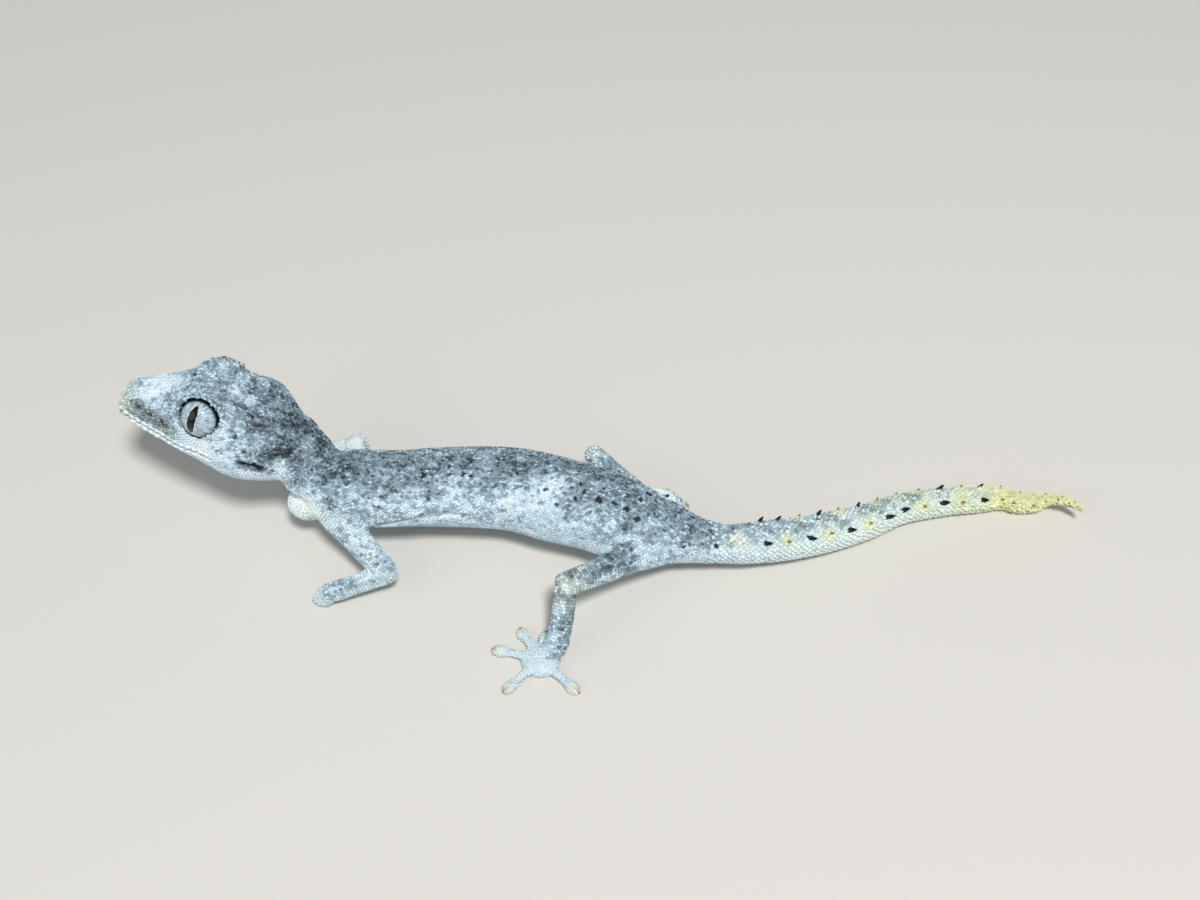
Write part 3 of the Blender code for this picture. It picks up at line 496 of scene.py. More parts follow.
# The iris darkens toward its edge, partly its own colour and partly painted shade.
IRIS_EDGE_AND_SHADE = (colour(64, 66, 72), (2.0, 2.2))  # with where it starts and is full, from the middle of the eye
# Painted shadow of the skin's rim, near black, round the edge of the eyeball.
EYE_RIM_SHADOW = (colour(14, 14, 18), (2.12, 2.24))
PUPIL_RIM = colour(236, 236, 232)
PUPIL = colour(3, 3, 6)
FLOOR_COLOUR = colour(214, 210, 202)


def metres(points):
    return (np.asarray(points, float) - CENTRE) * MM


def unit(vectors):
    vectors = np.asarray(vectors, float)
    return vectors / np.maximum(np.linalg.norm(vectors, axis=-1, keepdims=True), 1e-12)


def ease(value, start, end):
    """0 at start and 1 at end, with a smooth rise between. start may be the larger."""
    t = np.clip((np.asarray(value, float) - start) / (end - start), 0, 1)
    return t * t * (3 - 2 * t)


def fade(value, *steps):
    """Several eased steps, each from a start to an end, multiplied."""
    return math.prod(ease(value, start, end) for start, end in steps)


def bump(distance, width):
    return np.exp(-((distance / width) ** 2))


def turns(count, shift=0.0):
    """Angles in even steps over a full turn."""
    return 2 * math.pi * (np.arange(count) + shift) / count


def circle(across, over, angles):
    """Points at these angles of the circle or oval that two vectors span."""
    return np.outer(np.cos(angles), across) + np.outer(np.sin(angles), over)


def smooth_rows(rows, steps):
    """Catmull-Rom curve through rows of numbers, with this many steps from each row to the next."""
    rows = np.array(rows, float)
    ends = np.vstack([2 * rows[0] - rows[1], rows, 2 * rows[-1] - rows[-2]])
    out = []
    for a, b, c, d in zip(ends, ends[1:], ends[2:], ends[3:]):
        for t in np.arange(steps) / steps:
            cubic = (3 * b - 3 * c + d - a) * t**3
            out.append(0.5 * (2 * b + (c - a) * t + (2 * a - 5 * b + 4 * c - d) * t**2 + cubic))
    return np.array(out + [rows[-1]])


def head_axes():
    """Unit vectors of the head: back from the snout, out to the animal's right, and up."""
    yaw, pitch, roll = (math.radians(a) for a in (HEAD_YAW, HEAD_PITCH, HEAD_ROLL))
    back = np.array((math.cos(yaw) * math.cos(pitch), -math.sin(yaw) * math.cos(pitch), -math.sin(pitch)))
    side = unit(np.cross((0, 0, 1), back))
    up = np.cross(back, side)
    return back, math.cos(roll) * side + math.sin(roll) * up, math.cos(roll) * up - math.sin(roll) * side


BACK, SIDE, UP = head_axes()


def head_point(behind, out, above):
    return np.array(SNOUT_TIP) + behind * BACK + out * SIDE + above * UP


def in_head(points):
    """Each point as its distance behind the snout's tip, out to the right and above the mouth."""
    return (np.asarray(points) - np.array(SNOUT_TIP)) @ np.stack([BACK, SIDE, UP], axis=1)


def on_side(place, side):
    """The point of a place in the head, on its own side for 1 and across the head's middle for -1."""
    behind, out, above = place
    return head_point(behind, side * out, above)


def nape_shift(behind):
    return -NAPE_SHIFT * max(0.0, (behind - NAPE_START) / (HEAD_LENGTH - NAPE_START)) ** 2.3


def frames(points):
    """The direction, side and up vector at each point of a curve."""
    along = unit(np.gradient(points, axis=0))
    side = unit(np.cross((0, 0, 1), along))
    return along, side, np.cross(along, side)


def mesh_from_rings(rings, start=None, end=None):
    """A closed tube over rings of equal count. A start or end point closes it as a cone, and None flat."""
    count = len(rings[0])
    points = [tuple(p) for ring in rings for p in ring]
    faces = []
    for i in range(len(rings) - 1):
        for k in range(count):
            a, b = i * count + k, i * count + (k + 1) % count
            faces.append((a, b, b + count, a + count))
    last = (len(rings) - 1) * count
    for point, ring, flip in ((start, 0, True), (end, last, False)):
        loop = [ring + k for k in range(count)]
        if point is None:
            faces.append(loop[::-1] if flip else loop)
            continue
        points.append(tuple(point))
        tip = len(points) - 1
        for k in range(count):
            a, b = loop[k], loop[(k + 1) % count]
            faces.append((b, a, tip) if flip else (a, b, tip))
    return points, faces


def tube(rows, sides=32, steps=6, flat=1.0, round_start=True):
    """A limb through rows of x, y, z, radius, with round ends. flat scales its height."""
    rows = smooth_rows(rows, steps)
    along, side, up = frames(rows[:, :3])
    stations = [(rows[i, :3], i, rows[i, 3]) for i in range(len(rows))]
    for lift in END_LIFTS:
        reach, narrow = math.sin(lift), math.cos(lift)
        if round_start:
            stations.insert(0, (rows[0, :3] - along[0] * rows[0, 3] * reach, 0, rows[0, 3] * narrow))
        stations.append((rows[-1, :3] + along[-1] * rows[-1, 3] * reach, -1, rows[-1, 3] * narrow))
    rings = [centre + circle(side[i] * r, up[i] * r * flat, turns(sides)) for centre, i, r in stations]
    start = rows[0, :3] - along[0] * rows[0, 3] if round_start else None
    return mesh_from_rings(rings, start, rows[-1, :3] + along[-1] * rows[-1, 3])


def ellipsoid(centre, radii, sides=32):
    rows = sides // 2
    flat = circle((radii[0], 0, 0), (0, radii[1], 0), turns(sides))
    reach = np.array((0, 0, radii[2]))
    lifts = math.pi * np.arange(1, rows) / rows
    rings = [flat * math.sin(lift) - reach * math.cos(lift) + centre for lift in lifts]
    return mesh_from_rings(rings, np.array(centre) - reach, np.array(centre) + reach)


def link(name, data):
    """A new object of the scene."""
    made = bpy.data.objects.new(name, data)
    bpy.context.scene.collection.objects.link(made)
    return made


def add_object(name, shape):
    """A scene object in millimetres of the layout, for work on the shape."""
    points, faces = shape
    mesh = bpy.data.meshes.new(name)
    mesh.from_pydata([tuple(p) for p in points], [], faces)
    shaper = bmesh.new()
    shaper.from_mesh(mesh)
    bmesh.ops.recalc_face_normals(shaper, faces=shaper.faces)
    bmesh.ops.triangulate(shaper, faces=[f for f in shaper.faces if len(f.verts) > 4])
    shaper.to_mesh(mesh)
    shaper.free()
    return link(name, mesh)


def remove(obj):
    mesh = obj.data
    bpy.data.objects.remove(obj)
    bpy.data.meshes.remove(mesh)


def apply(body, modifier):
    bpy.context.view_layer.update()
    bpy.context.view_layer.objects.active = body
    bpy.ops.object.modifier_apply(modifier=modifier.name)


def boolean(body, operation, shapes):
    """Joins closed shapes to the body or cuts them from it."""
    group = bpy.data.collections.new("pieces")
    bpy.context.scene.collection.children.link(group)
    for shape in shapes:
        piece = add_object("piece", shape)
        bpy.context.scene.collection.objects.unlink(piece)
        group.objects.link(piece)
    change = body.modifiers.new(operation, "BOOLEAN")
    change.operation = operation
    change.operand_type = "COLLECTION"
    change.collection = group
    change.solver = "MANIFOLD"
    apply(body, change)
    for piece in list(group.objects):
        remove(piece)
    bpy.data.collections.remove(group)


def corner_points(mesh):
    """The index of the point at each corner of a mesh's faces."""
    corners = np.empty(len(mesh.loops), np.int32)
    mesh.loops.foreach_get("vertex_index", corners)
    return corners


def mesh_arrays(mesh):
    """The points of a mesh and its faces, which all have four corners after the remesh."""
    points = np.empty(len(mesh.vertices) * 3)
    mesh.vertices.foreach_get("co", points)
    return points.reshape(-1, 3), corner_points(mesh).reshape(-1, 4)


def head_swell(behind, out, above):
    """How far the skin of the head stands out at places of a ring, beyond its plain oval."""
    total = 0.0
    for at_behind, at_out, at_above, reach, height in HEAD_SWELLS:
        distance = (behind - at_behind) ** 2 + (np.abs(out) - at_out) ** 2 + (above - at_above) ** 2
        total += height * np.exp(-distance / reach**2)
    return total


def head_shape():
    cosine, sine = np.cos(turns(72)), np.sin(turns(72))
    dense = smooth_rows(((0.0, 0.0, 0.3, 0.2),) + HEAD_PROFILE, 8)
    rings = []
    for back in np.concatenate([(0.12, 0.3), np.arange(0.5, HEAD_LENGTH + 0.1, 0.5)]):
        width, top, bottom = (np.interp(back, dense[:, 0], dense[:, k]) for k in (1, 2, 3))
        if back < 0.5:
            width = top = 0.85 if back < 0.2 else 1.25
            bottom = 0.75 * width
        roundness = 0.85 + 0.15 * ease(back, 15.0, HEAD_LENGTH)
        out = width * np.copysign(np.abs(cosine) ** roundness, cosine)
        above = np.where(sine > 0, top, bottom) * np.copysign(np.abs(sine) ** roundness, sine)
        swell = head_swell(back, out, above) * min(1.0, (HEAD_LENGTH - back) / 3.0)
        stretch = 1 + swell / np.hypot(out, above)
        places = np.column_stack([out * stretch + nape_shift(back), above * stretch])
        rings.append(head_point(back, places[:, :1], places[:, 1:]))
    return mesh_from_rings(rings, head_point(0.0, 0.0, 0.1))


def eye_centre(side):
    return on_side(EYE_PLACE, side)


def eye_axes(side):
    """The way an eye looks, and two ways across it, of which the second one leads up."""
    back, out, up = EYE_LOOK
    look = unit(back * BACK + side * out * SIDE + up * UP)
    across = unit(np.cross(look, UP))
    return look, across, np.cross(across, look)


def round_eye(side, profile, sides, pole, front_pole=None):
    """A solid turned about the way the eye looks, from pairs of distance toward it and radius."""
    look, across, over = eye_axes(side)
    ring = circle(across, -over, turns(sides))
    rings = [eye_centre(side) + look * reach + ring * radius for reach, radius in profile]
    poles = [None if reach is None else eye_centre(side) + look * reach for reach in (front_pole, pole)]
    return mesh_from_rings(rings, *poles)


def ball(side, radius, sides=40):
    lifts = math.pi * np.arange(1, sides // 2) / (sides // 2)
    profile = radius * np.column_stack([np.cos(lifts), np.sin(lifts)])
    return round_eye(side, profile, sides, -radius, radius)


def ear_pit(side):
    """A slanting slit where the drum of the ear lies."""
    long_way = unit(BACK - EAR_SLANT * UP)
    short_way = unit(np.cross(long_way, SIDE))
    ring = circle(long_way * EAR_HALF[0], short_way * EAR_HALF[1], turns(20))
    middle = on_side(EAR_PLACE, side)
    return mesh_from_rings([middle + ring * size + SIDE * side * out for out, size in EAR_STEPS])


def trunk_rows():
    rows = [(*head_point(row[0], nape_shift(row[0]), 0), *row[1:]) for row in HEAD_PROFILE[-3:]]
    return smooth_rows(rows + list(TRUNK), 8)


def trunk_shape(sides=56):
    """The neck, body and tail, which start just inside the end of the head."""
    rows = trunk_rows()
    _, side, up = frames(rows[:, :3])
    head_end = head_point(HEAD_LENGTH, 0, 0)[0]
    as_head = ease(rows[:, :1], head_end + 2.4, head_end)
    side, up = unit(side + as_head * (SIDE - side)), unit(up + as_head * (UP - up))
    outside = rows[:, 0] > head_end - 1.2
    cosine, sine = np.cos(turns(sides)), np.sin(turns(sides))
    rings = []
    for row, across, over in zip(rows[outside], side[outside], up[outside]):
        rise = np.where(sine > 0, row[4], row[5]) * sine
        rings.append(row[:3] + np.outer(row[3] * cosine, across) + np.outer(rise, over))
    return mesh_from_rings(rings)


def toe_rows(sole, place):
    """Rows of a toe that leaves the sole and ends in a broad pad on the floor."""
    sole, place = np.array(sole[:2]), np.array(place)
    root = np.array((*(sole + TOE_ROOT * (place - sole)), 0.75))
    end = np.array((*place, 0.28))
    way = unit(end - root)
    reach = np.linalg.norm(end - root)
    stations = ((0.0, TOE_WIDTH * 1.15), (reach * 0.42, TOE_WIDTH),
                (reach - 2.1 * PAD_WIDTH, TOE_WIDTH * 1.08), (reach - 1.25 * PAD_WIDTH, PAD_WIDTH),
                (reach - 0.75 * PAD_WIDTH, PAD_WIDTH * 0.92))
    return [(*(root + way * distance), width) for distance, width in stations]


def foot_shapes(sole, radii, leg, toes):
    shapes = [tube(toe_rows(sole, place), 18, steps=4, flat=0.72, round_start=False) for place in toes]
    ankle, radius = np.array(leg[1][-1][:3]), leg[1][-1][3]
    heel = [(*ankle, radius), (*(0.5 * (ankle + sole)), radius * 0.95), (*sole[:2], sole[2] + 0.1, 0.9)]
    return shapes + [tube(heel, 28), ellipsoid(sole, radii)]


def hand_toe_rows(spread):
    """Rows of a short bent toe of the closed left hand."""
    wrist, sole = np.array(LEFT_ARM[1][-1][:3]), np.array(LEFT_HAND_SOLE)
    forward = unit((sole - wrist) * (1, 1, 0))
    across = np.cross((0, 0, 1), forward)
    root = sole + forward * 0.3 + across * spread * 0.85 + (0, 0, -0.1)
    bend = root + forward * (0.85 - 0.9 * spread**2) - across * spread * 0.1 + (0, 0, -0.15)
    end = bend + forward * 0.1 - np.array((0, 0, 0.25))
    return [(*place, width) for place, width in zip((root, bend, end), BENT_TOE_WIDTHS)]


def closed_hand_shapes():
    wrist, sole = np.array(LEFT_ARM[1][-1][:3]), np.array(LEFT_HAND_SOLE)
    middles = (wrist, 0.5 * (wrist + sole) + (0, 0, 0.1), sole)
    palm = [(*middle, width) for middle, width in zip(middles, PALM_WIDTHS)]
    toes = [tube(hand_toe_rows(spread), 14, steps=3, round_start=False) for spread in LEFT_HAND_SPREAD]
    return toes + [tube(palm, 28, flat=0.92)]


def melt(objects):
    """One object of quads over the union of closed objects that overlap."""
    body = objects[0]
    with bpy.context.temp_override(active_object=body, selected_editable_objects=objects):
        bpy.ops.object.join()
    change = body.modifiers.new("melt", "REMESH")
    change.mode = "VOXEL"
    change.voxel_size = VOXEL
    apply(body, change)
    return body


def neighbour_mean(points, faces):
    """The mean of each point's neighbours, as a function of the points, over the edges of quads."""
    edges = np.concatenate([faces[:, [k, (k + 1) % 4]] for k in range(4)])
    edges = np.unique(np.sort(edges, axis=1), axis=0)
    ends = np.concatenate([edges[:, 0], edges[:, 1]])
    others = np.concatenate([edges[:, 1], edges[:, 0]])
    count = np.maximum(np.bincount(ends, minlength=len(points)), 1)

    def mean(values):
        sums = [np.bincount(ends, values[others, k], len(points)) for k in range(3)]
        return np.stack(sums, axis=1) / count[:, None]

    return mean


def smooth(points, faces, rounds):
    """Takes the voxels' steps off the skin without shrinking it."""
    mean = neighbour_mean(points, faces)
    for _ in range(rounds):
        for strength in (0.5, -0.52):
            points = points + strength * (mean(points) - points)
    return points


def soften(points, faces):
    """Rounds the corners where limbs and the swelling of the breast leave the body."""
    mean = neighbour_mean(points, faces)
    share = np.zeros(len(points))
    for place, reach in SOFT_SPOTS:
        share = np.maximum(share, np.exp(-((np.linalg.norm(points - place, axis=1) / reach) ** 4)))
    for _ in range(SOFT_ROUNDS):
        points = points + 0.6 * share[:, None] * (mean(points) - points)
    return points


def quad_normals(corners):
    """A vector across each face of four corners, twice as long as its area."""
    return np.cross(corners[:, 2] - corners[:, 0], corners[:, 3] - corners[:, 1])


def vertex_normals(points, faces):
    face_normals = quad_normals(points[faces])
    normals = np.zeros_like(points)
    for k in range(4):
        np.add.at(normals, faces[:, k], face_normals)
    return unit(normals)


def skin_body():
    """Points and quads of the whole animal's skin, before its folds."""
    head = add_object("head_shape", head_shape())
    boolean(head, "UNION", [round_eye(side, EYE_CUP, 48, CUP_POLE) for side in (-1, 1)])
    cutters = [ball(side, EYE_RADIUS + EYE_SLACK + SKIN_IN) for side in (-1, 1)]
    for side in (-1, 1):
        cutters += [ear_pit(side), ellipsoid(on_side(NOSTRIL_PLACE, side), NOSTRIL_RADII, 16)]
    boolean(head, "DIFFERENCE", cutters)
    shapes = [trunk_shape(), ellipsoid(BREAST, BREAST_RADII)]
    shapes += [tube(rows) for limb in LIMBS.values() for rows in limb]
    for sole, radii, leg, toes in FEET.values():
        shapes += foot_shapes(sole, radii, leg, toes)
    shapes += closed_hand_shapes()
    body = melt([head] + [add_object("shape", shape) for shape in shapes])
    points, faces = mesh_arrays(body.data)
    remove(body)
    return soften(smooth(points, faces, SMOOTHING_ROUNDS), faces), faces


class Bone:
    """A line through a part of the body with a size at each point, for finding places along and round it."""

    def __init__(self, name, rows):
        rows = np.array(rows, float)
        self.name = name
        self.centres = rows[:, :3]
        self.widths, self.tops, self.bottoms = rows[:, 3], rows[:, 4], rows[:, 5]
        self.along, self.side, self.up = frames(self.centres)
        steps = np.linalg.norm(np.diff(self.centres, axis=0), axis=1)
        self.lengths = np.concatenate([[0], np.cumsum(steps)])

    def nearest(self, points):
        """For each point the index of the nearest row, and how far it lies outside the surface there."""
        index = np.empty(len(points), int)
        outside = np.empty(len(points))
        radius = (self.widths + 0.5 * (self.tops + self.bottoms)) / 2
        for start in range(0, len(points), BATCH):
            part = slice(start, start + BATCH)
            squared = ((points[part, None, :] - self.centres[None]) ** 2).sum(axis=2)
            best = squared.argmin(axis=1)
            index[part] = best
            outside[part] = np.sqrt(squared[np.arange(len(best)), best]) - radius[best]
        return index, outside

    def place(self, points, index):
        """Distance along the line, and the angle round it from the top, left side negative."""
        offset = points - self.centres[index]
        reach = (offset * self.along[index]).sum(axis=1)
        angle = np.arctan2((offset * self.side[index]).sum(axis=1), (offset * self.up[index]).sum(axis=1))
        return self.lengths[index] + reach, angle

    def locate(self, points):
        return self.place(points, self.nearest(points)[0])

    def surface(self, distance, angle):
        """The point of the plain tube at a distance along the line and an angle from the top."""
        values = np.column_stack([self.centres, self.widths, self.tops, self.bottoms, self.side, self.up])
        row = np.stack([np.interp(distance, self.lengths, column) for column in values.T], axis=-1)
        height = np.where(np.cos(angle) > 0, row[..., 4], row[..., 5]) * np.cos(angle)
        across = row[..., 3] * np.sin(angle)
        return row[..., :3] + across[..., None] * row[..., 6:9] + height[..., None] * row[..., 9:12]

    def spot(self, distance, angle):
        """That point for one distance and one angle."""
        return self.surface(np.array([distance]), np.array([angle]))[0]


def round_rows(rows):
    """Rows of x, y, z, radius as rows that have a width, a height and a depth."""
    rows = np.array(rows)
    return np.column_stack([rows, rows[:, 3], rows[:, 3]])


def head_bone():
    rows = []
    for behind, width, top, bottom in smooth_rows(HEAD_PROFILE, 4):
        half = (top + bottom) / 2
        rows.append((*head_point(behind, nape_shift(behind), (top - bottom) / 2), width, half, half))
    return Bone("head", rows)


def foot_rows(sole, leg, toes):
    """Lines over the toes and the sole, one after the other, which only serve to tell a foot's skin."""
    rows = [(*leg[1][-1][:3], 1.1), (*sole, 1.4)]
    for place in toes:
        rows += toe_rows(sole, place)
    return round_rows(rows)


def make_bones():
    trunk = trunk_rows()
    nape = head_point(HEAD_LENGTH - 0.5, 0, 0)[0]
    body = trunk[(trunk[:, 0] > nape) & (trunk[:, 0] < TAIL_START + 0.5)]
    bones = [head_bone(), Bone("body", body), Bone("tail", trunk[trunk[:, 0] > TAIL_START - 0.5])]
    for name, (upper, lower) in LIMBS.items():
        bones.append(Bone(name, round_rows(np.vstack([smooth_rows(upper, 8), smooth_rows(lower, 8)[1:]]))))
    for name, (sole, _, leg, toes) in FEET.items():
        bones.append(Bone(name, foot_rows(sole, leg, toes)))
    hand = [(*LEFT_ARM[1][-1][:3], PALM_WIDTHS[0]), (*LEFT_HAND_SOLE, PALM_WIDTHS[-1])]
    hand += [row for spread in LEFT_HAND_SPREAD for row in hand_toe_rows(spread)[1:]]
    return bones + [Bone("left_hand", round_rows(hand))]


def label_points(points):
    """For each point the index of its bone and of its row there."""
    rows = np.empty((len(BONES), len(points)), int)
    outside = np.empty((len(BONES), len(points)))
    for k, bone in enumerate(BONES):
        rows[k], outside[k] = bone.nearest(points)
    labels = outside.argmin(axis=0)
    return labels, rows[labels, np.arange(len(points))]


def photo_ray(x, y):
    """Where the camera stands and the way to a pixel of the photo."""
    sine, cosine = math.sin(CAMERA_ELEVATION), math.cos(CAMERA_ELEVATION)
    forward = np.array((0.0, cosine, -sine))
    over = np.array((0.0, sine, cosine))
    right = (x - PHOTO_SIZE[0] / 2) / FOCAL_PIXELS
    down = (y - PHOTO_SIZE[1] / 2) / FOCAL_PIXELS
    return -CAMERA_DISTANCE * forward, unit(forward + right * np.array((1.0, 0, 0)) - down * over)


def seen_at(tree, x, y):
    """The point of the skin that the photo's camera sees at a pixel, or the nearest one to its ray."""
    eye, way = photo_ray(x, y)
    hit = tree.ray_cast(Vector(eye), Vector(way))[0]
    if hit is None:
        hit = tree.find_nearest(Vector(eye + way * CAMERA_DISTANCE * 0.95))[0]
    return np.array(hit)


def distance_to_path(points, path):
    """The distance of each point to a line through a few points."""
    nearest = np.full(len(points), np.inf)
    for a, b in zip(path, path[1:]):
        way = b - a
        share = np.clip(((points - a) @ way) / max(way @ way, 1e-9), 0, 1)
        nearest = np.minimum(nearest, np.linalg.norm(points - a - share[:, None] * way, axis=1))
    return nearest


def mirrored(tree, point):
    """The place on the skin across the middle of the head and neck."""
    return np.array(tree.find_nearest(Vector(on_side(in_head(point), -1)))[0])


def mouth_height(behind):
    """How high the line of the mouth lies, which rises a little at its corner."""
    return 0.55 * ease(behind, 8.5, MOUTH_END)


def lip_places(points):
    """How much each point belongs to the lips, and how far above the line of the mouth it lies."""
    behind, _, above = in_head(points).T
    on_lips = ease(behind, MOUTH_END + 0.6, MOUTH_END - 0.6) * (behind > -0.5) * (np.abs(above) < 3)
    return on_lips, above - mouth_height(behind)


def skin_tree(points, faces):
    return BVHTree.FromPolygons(points.tolist(), faces.tolist())


def on_floor(points):
    points[:, 2] = np.maximum(points[:, 2], 0.0)
    return points


def fold_skin(points, faces):
    """Presses the line of the mouth and the creases into the skin, and draws it in by the coat's depth."""
    normals = vertex_normals(points, faces)
    tree = skin_tree(points, faces)
    rise = np.full(len(points), -SKIN_IN)
    on_lips, from_line = lip_places(points)
    depth, width = LIP_FOLD
    rise -= depth * on_lips * bump(from_line, width)
    height, lift, width = LIP_SWELL
    rise += height * on_lips * bump(np.abs(from_line) - lift, width)
    for pixels, width, depth in CREASES:
        path = [seen_at(tree, *pixel) for pixel in pixels]
        sides = [path]
        if pixels[0][0] < HEAD_END_PIXEL:
            sides.append([mirrored(tree, point) for point in path])
        for line in sides:
            distance = distance_to_path(points, line)
            rise -= depth * bump(distance, width)
            rise += CREASE_EDGE * depth * bump(distance - 2 * width, width)
    for pixels, width, height in FULLNESS:
        path = [seen_at(tree, *pixel) for pixel in pixels]
        rise += height * bump(distance_to_path(points, path), width)
    for shift, size, height in SKIN_WAVES:
        wave = [noise.noise(Vector(point) * size + Vector((shift, 0, 0))) for point in points]
        rise += height * np.array(wave)
    return on_floor(points + normals * rise[:, None])


def mark_and_shade_points(tree):
    """The places on the skin of the markings and of the painted shade in folds, with radii and strengths.
    The head's are on both sides.
    """
    placed = []
    for x, y, radius, strength in MARKS_AND_SHADE:
        point = seen_at(tree, x, y)
        placed.append((point, radius, strength))
        if x < HEAD_END_PIXEL:
            placed.append((mirrored(tree, point), radius, strength))
    return placed


def ear_shade_share(points):
    """How much of each point lies in the opening of an ear, which is darkened with painted shade."""
    behind, out, above = in_head(points).T
    behind = (behind - EAR_PLACE[0]) / EAR_HALF[0]
    above = (above - EAR_PLACE[2]) / EAR_HALF[1] + EAR_SLANT * behind * EAR_HALF[0] / EAR_HALF[1]
    side = ease(np.abs(np.abs(out) - EAR_PLACE[1]), 2.8, 2.0)
    return side * np.exp(-((behind / 0.95) ** 4) - (above / 1.15) ** 4)


def mark_and_shade_values(points):
    """How much paler (+) or darker (-) the markings make the skin at each point, with painted shade in the
    ear's opening, the mouth's line and some folds.
    """
    total = -EAR_SHADE * ear_shade_share(points)
    on_lips, from_line = lip_places(points)
    pale, lift, width = LIP_PALE
    dark, line_width = LIP_LINE_SHADE
    total += on_lips * (pale * bump(np.abs(from_line) - lift, width) - dark * bump(from_line, line_width))
    for place, radius, strength in PLACED_MARKS_AND_SHADE:
        distance = np.linalg.norm(points - place, axis=1)
        near = distance < 3 * max(radius, 0.3)
        distance = distance[near]
        if radius < DOT_RADIUS:
            total[near] += strength * ease(distance, 1.35 * radius, 0.75 * radius)
            total[near] += HALO_PALE * bump(distance - HALO_RADIUS * radius, 0.8 * radius)
        else:
            total[near] += strength * bump(distance, radius)
    return total


def head_tone(points):
    """The shares of dark, warm and yellow in the colour of the head."""
    behind, out, above = in_head(points).T
    dark, yellow = np.zeros(len(points)), np.zeros(len(points))
    for name, (strength, behinds, aboves, asides) in HEAD_ZONES.items():
        zone = fade(behind, *behinds) * fade(above, *aboves)
        dark = np.maximum(dark, strength * zone * fade(np.abs(out), *asides))
        yellow += HEAD_YELLOW.get(name, 0.0) * zone
    return dark, ease(above, *THROAT), yellow


def spine_start():
    """How far along the tail its spines begin."""
    bone = BONE_OF["tail"]
    return float(np.interp(SPINE_START, bone.centres[:, 0], bone.lengths))


def spine_places(row, spines):
    """Distance along the tail, place on the plain tube and kind of each spine of a row."""
    bone = BONE_OF["tail"]
    distance = spine_start()
    placed = []
    for step, kind in spines:
        distance += step
        if distance < bone.lengths[-1] - 0.5:
            placed.append((distance, bone.spot(distance, math.radians(row)), kind))
    return placed


def yellow_patches(points):
    """How yellow the skin is for being near a yellow spine of the tail."""
    patches = [(place, radius, 0.7) for place, radius in PLACED_SPOTS]
    for row, spines in zip(SPINE_ROWS, (LEFT_SPINES, RIGHT_SPINES)):
        patches += [(place, PATCH_REACH, 1.0) for _, place, kind in spine_places(row, spines) if kind == "y"]
    total = np.zeros(len(points))
    for place, radius, strength in patches:
        total = np.maximum(total, strength * bump(np.linalg.norm(points - place, axis=1), radius))
    return total


def trunk_tone(points, turn):
    """The shares of dark, warm and yellow in the colour of the body and the tail."""
    x = points[:, 0]
    reach = np.interp(x, *zip(*DARK_REACH))
    for size, shift in DARK_WAVES:
        reach = reach + shift * np.array([noise.noise(Vector(point) * size) for point in points])
    from_middle = np.abs((turn - DARK_MIDDLE + 180) % 360 - 180)
    dark = np.interp(x, *zip(*DARK_STRENGTH)) * ease(from_middle, reach + 36, reach - 20)
    flank = FLANK_DARK + sum(change * ease(x, start, end) for start, end, change in FLANK_STEPS)
    flank = flank * ease(from_middle, *FLANK_AROUND) * ease(x, *FLANK_END)
    dark = np.maximum(dark, LEAST_DARK + flank) - TAIL_PALE * ease(x, *TAIL_PALE_REACH)
    yellow = np.interp(x, *zip(*YELLOW_STRENGTH))
    patches = yellow_patches(points)
    warm = ease(np.abs(turn), *BELLY_AROUND)
    return dark * (1 - 0.8 * patches), warm, yellow + 0.55 * patches * (1.3 - yellow)


def leg_tone(distance, turn, behind):
    """The shares of dark, warm and yellow in a leg, whose knee is paler and yellower."""
    thigh = 0.44 * ease(turn, 130, 50) * fade(distance, *THIGH) - 0.06
    shank = 0.6 * fade(distance, *SHANK) * ease(behind, -0.6, 0.8)
    knee = fade(distance, *KNEE)
    dark = np.maximum(thigh, shank) + 0.28 + 0.14 * knee
    return dark, 0.5 * ease(turn, *UNDERSIDE), 0.03 + 0.3 * knee + 0.16 * shank


def arm_tone(turn):
    return 0.12 + 0.14 * ease(turn, 130, 40), 0.4 * ease(turn, *UNDERSIDE), 0.09


def foot_tone(name, points):
    """The shares of dark, warm and yellow in the colour of a foot or hand, whose pads are yellower."""
    pad = np.zeros(len(points))
    for place in FEET[name][3] if name in FEET else ():
        pad = np.maximum(pad, bump(np.linalg.norm(points[:, :2] - place, axis=1), PAD_REACH))
    return 0.42 * pad**6 - 0.04, 0.3 * ease(points[:, 2], 0.7, 0.15), 0.06 + 0.72 * pad


def tone_values(points, labels, rows):
    """The shares of dark, warm and yellow in the skin's colour at each point, and its markings with painted
    shade.
    """
    tone = np.zeros((len(points), 4))
    for k, bone in enumerate(BONES):
        here = labels == k
        if not here.any():
            continue
        part = points[here]
        distance, angle = bone.place(part, rows[here])
        turn = np.degrees(angle)
        if bone.name == "head":
            shares = head_tone(part)
        elif bone.name in ("body", "tail"):
            shares = trunk_tone(part, turn)
        elif bone.name.endswith("leg"):
            shares = leg_tone(distance, np.abs(turn), part[:, 0] - bone.centres[rows[here], 0])
        elif bone.name.endswith("arm"):
            shares = arm_tone(np.abs(turn))
        else:
            shares = foot_tone(bone.name, part)
        for column, values in enumerate(shares):
            tone[here, column] = values
    tone[:, 3] = mark_and_shade_values(points)
    return tone


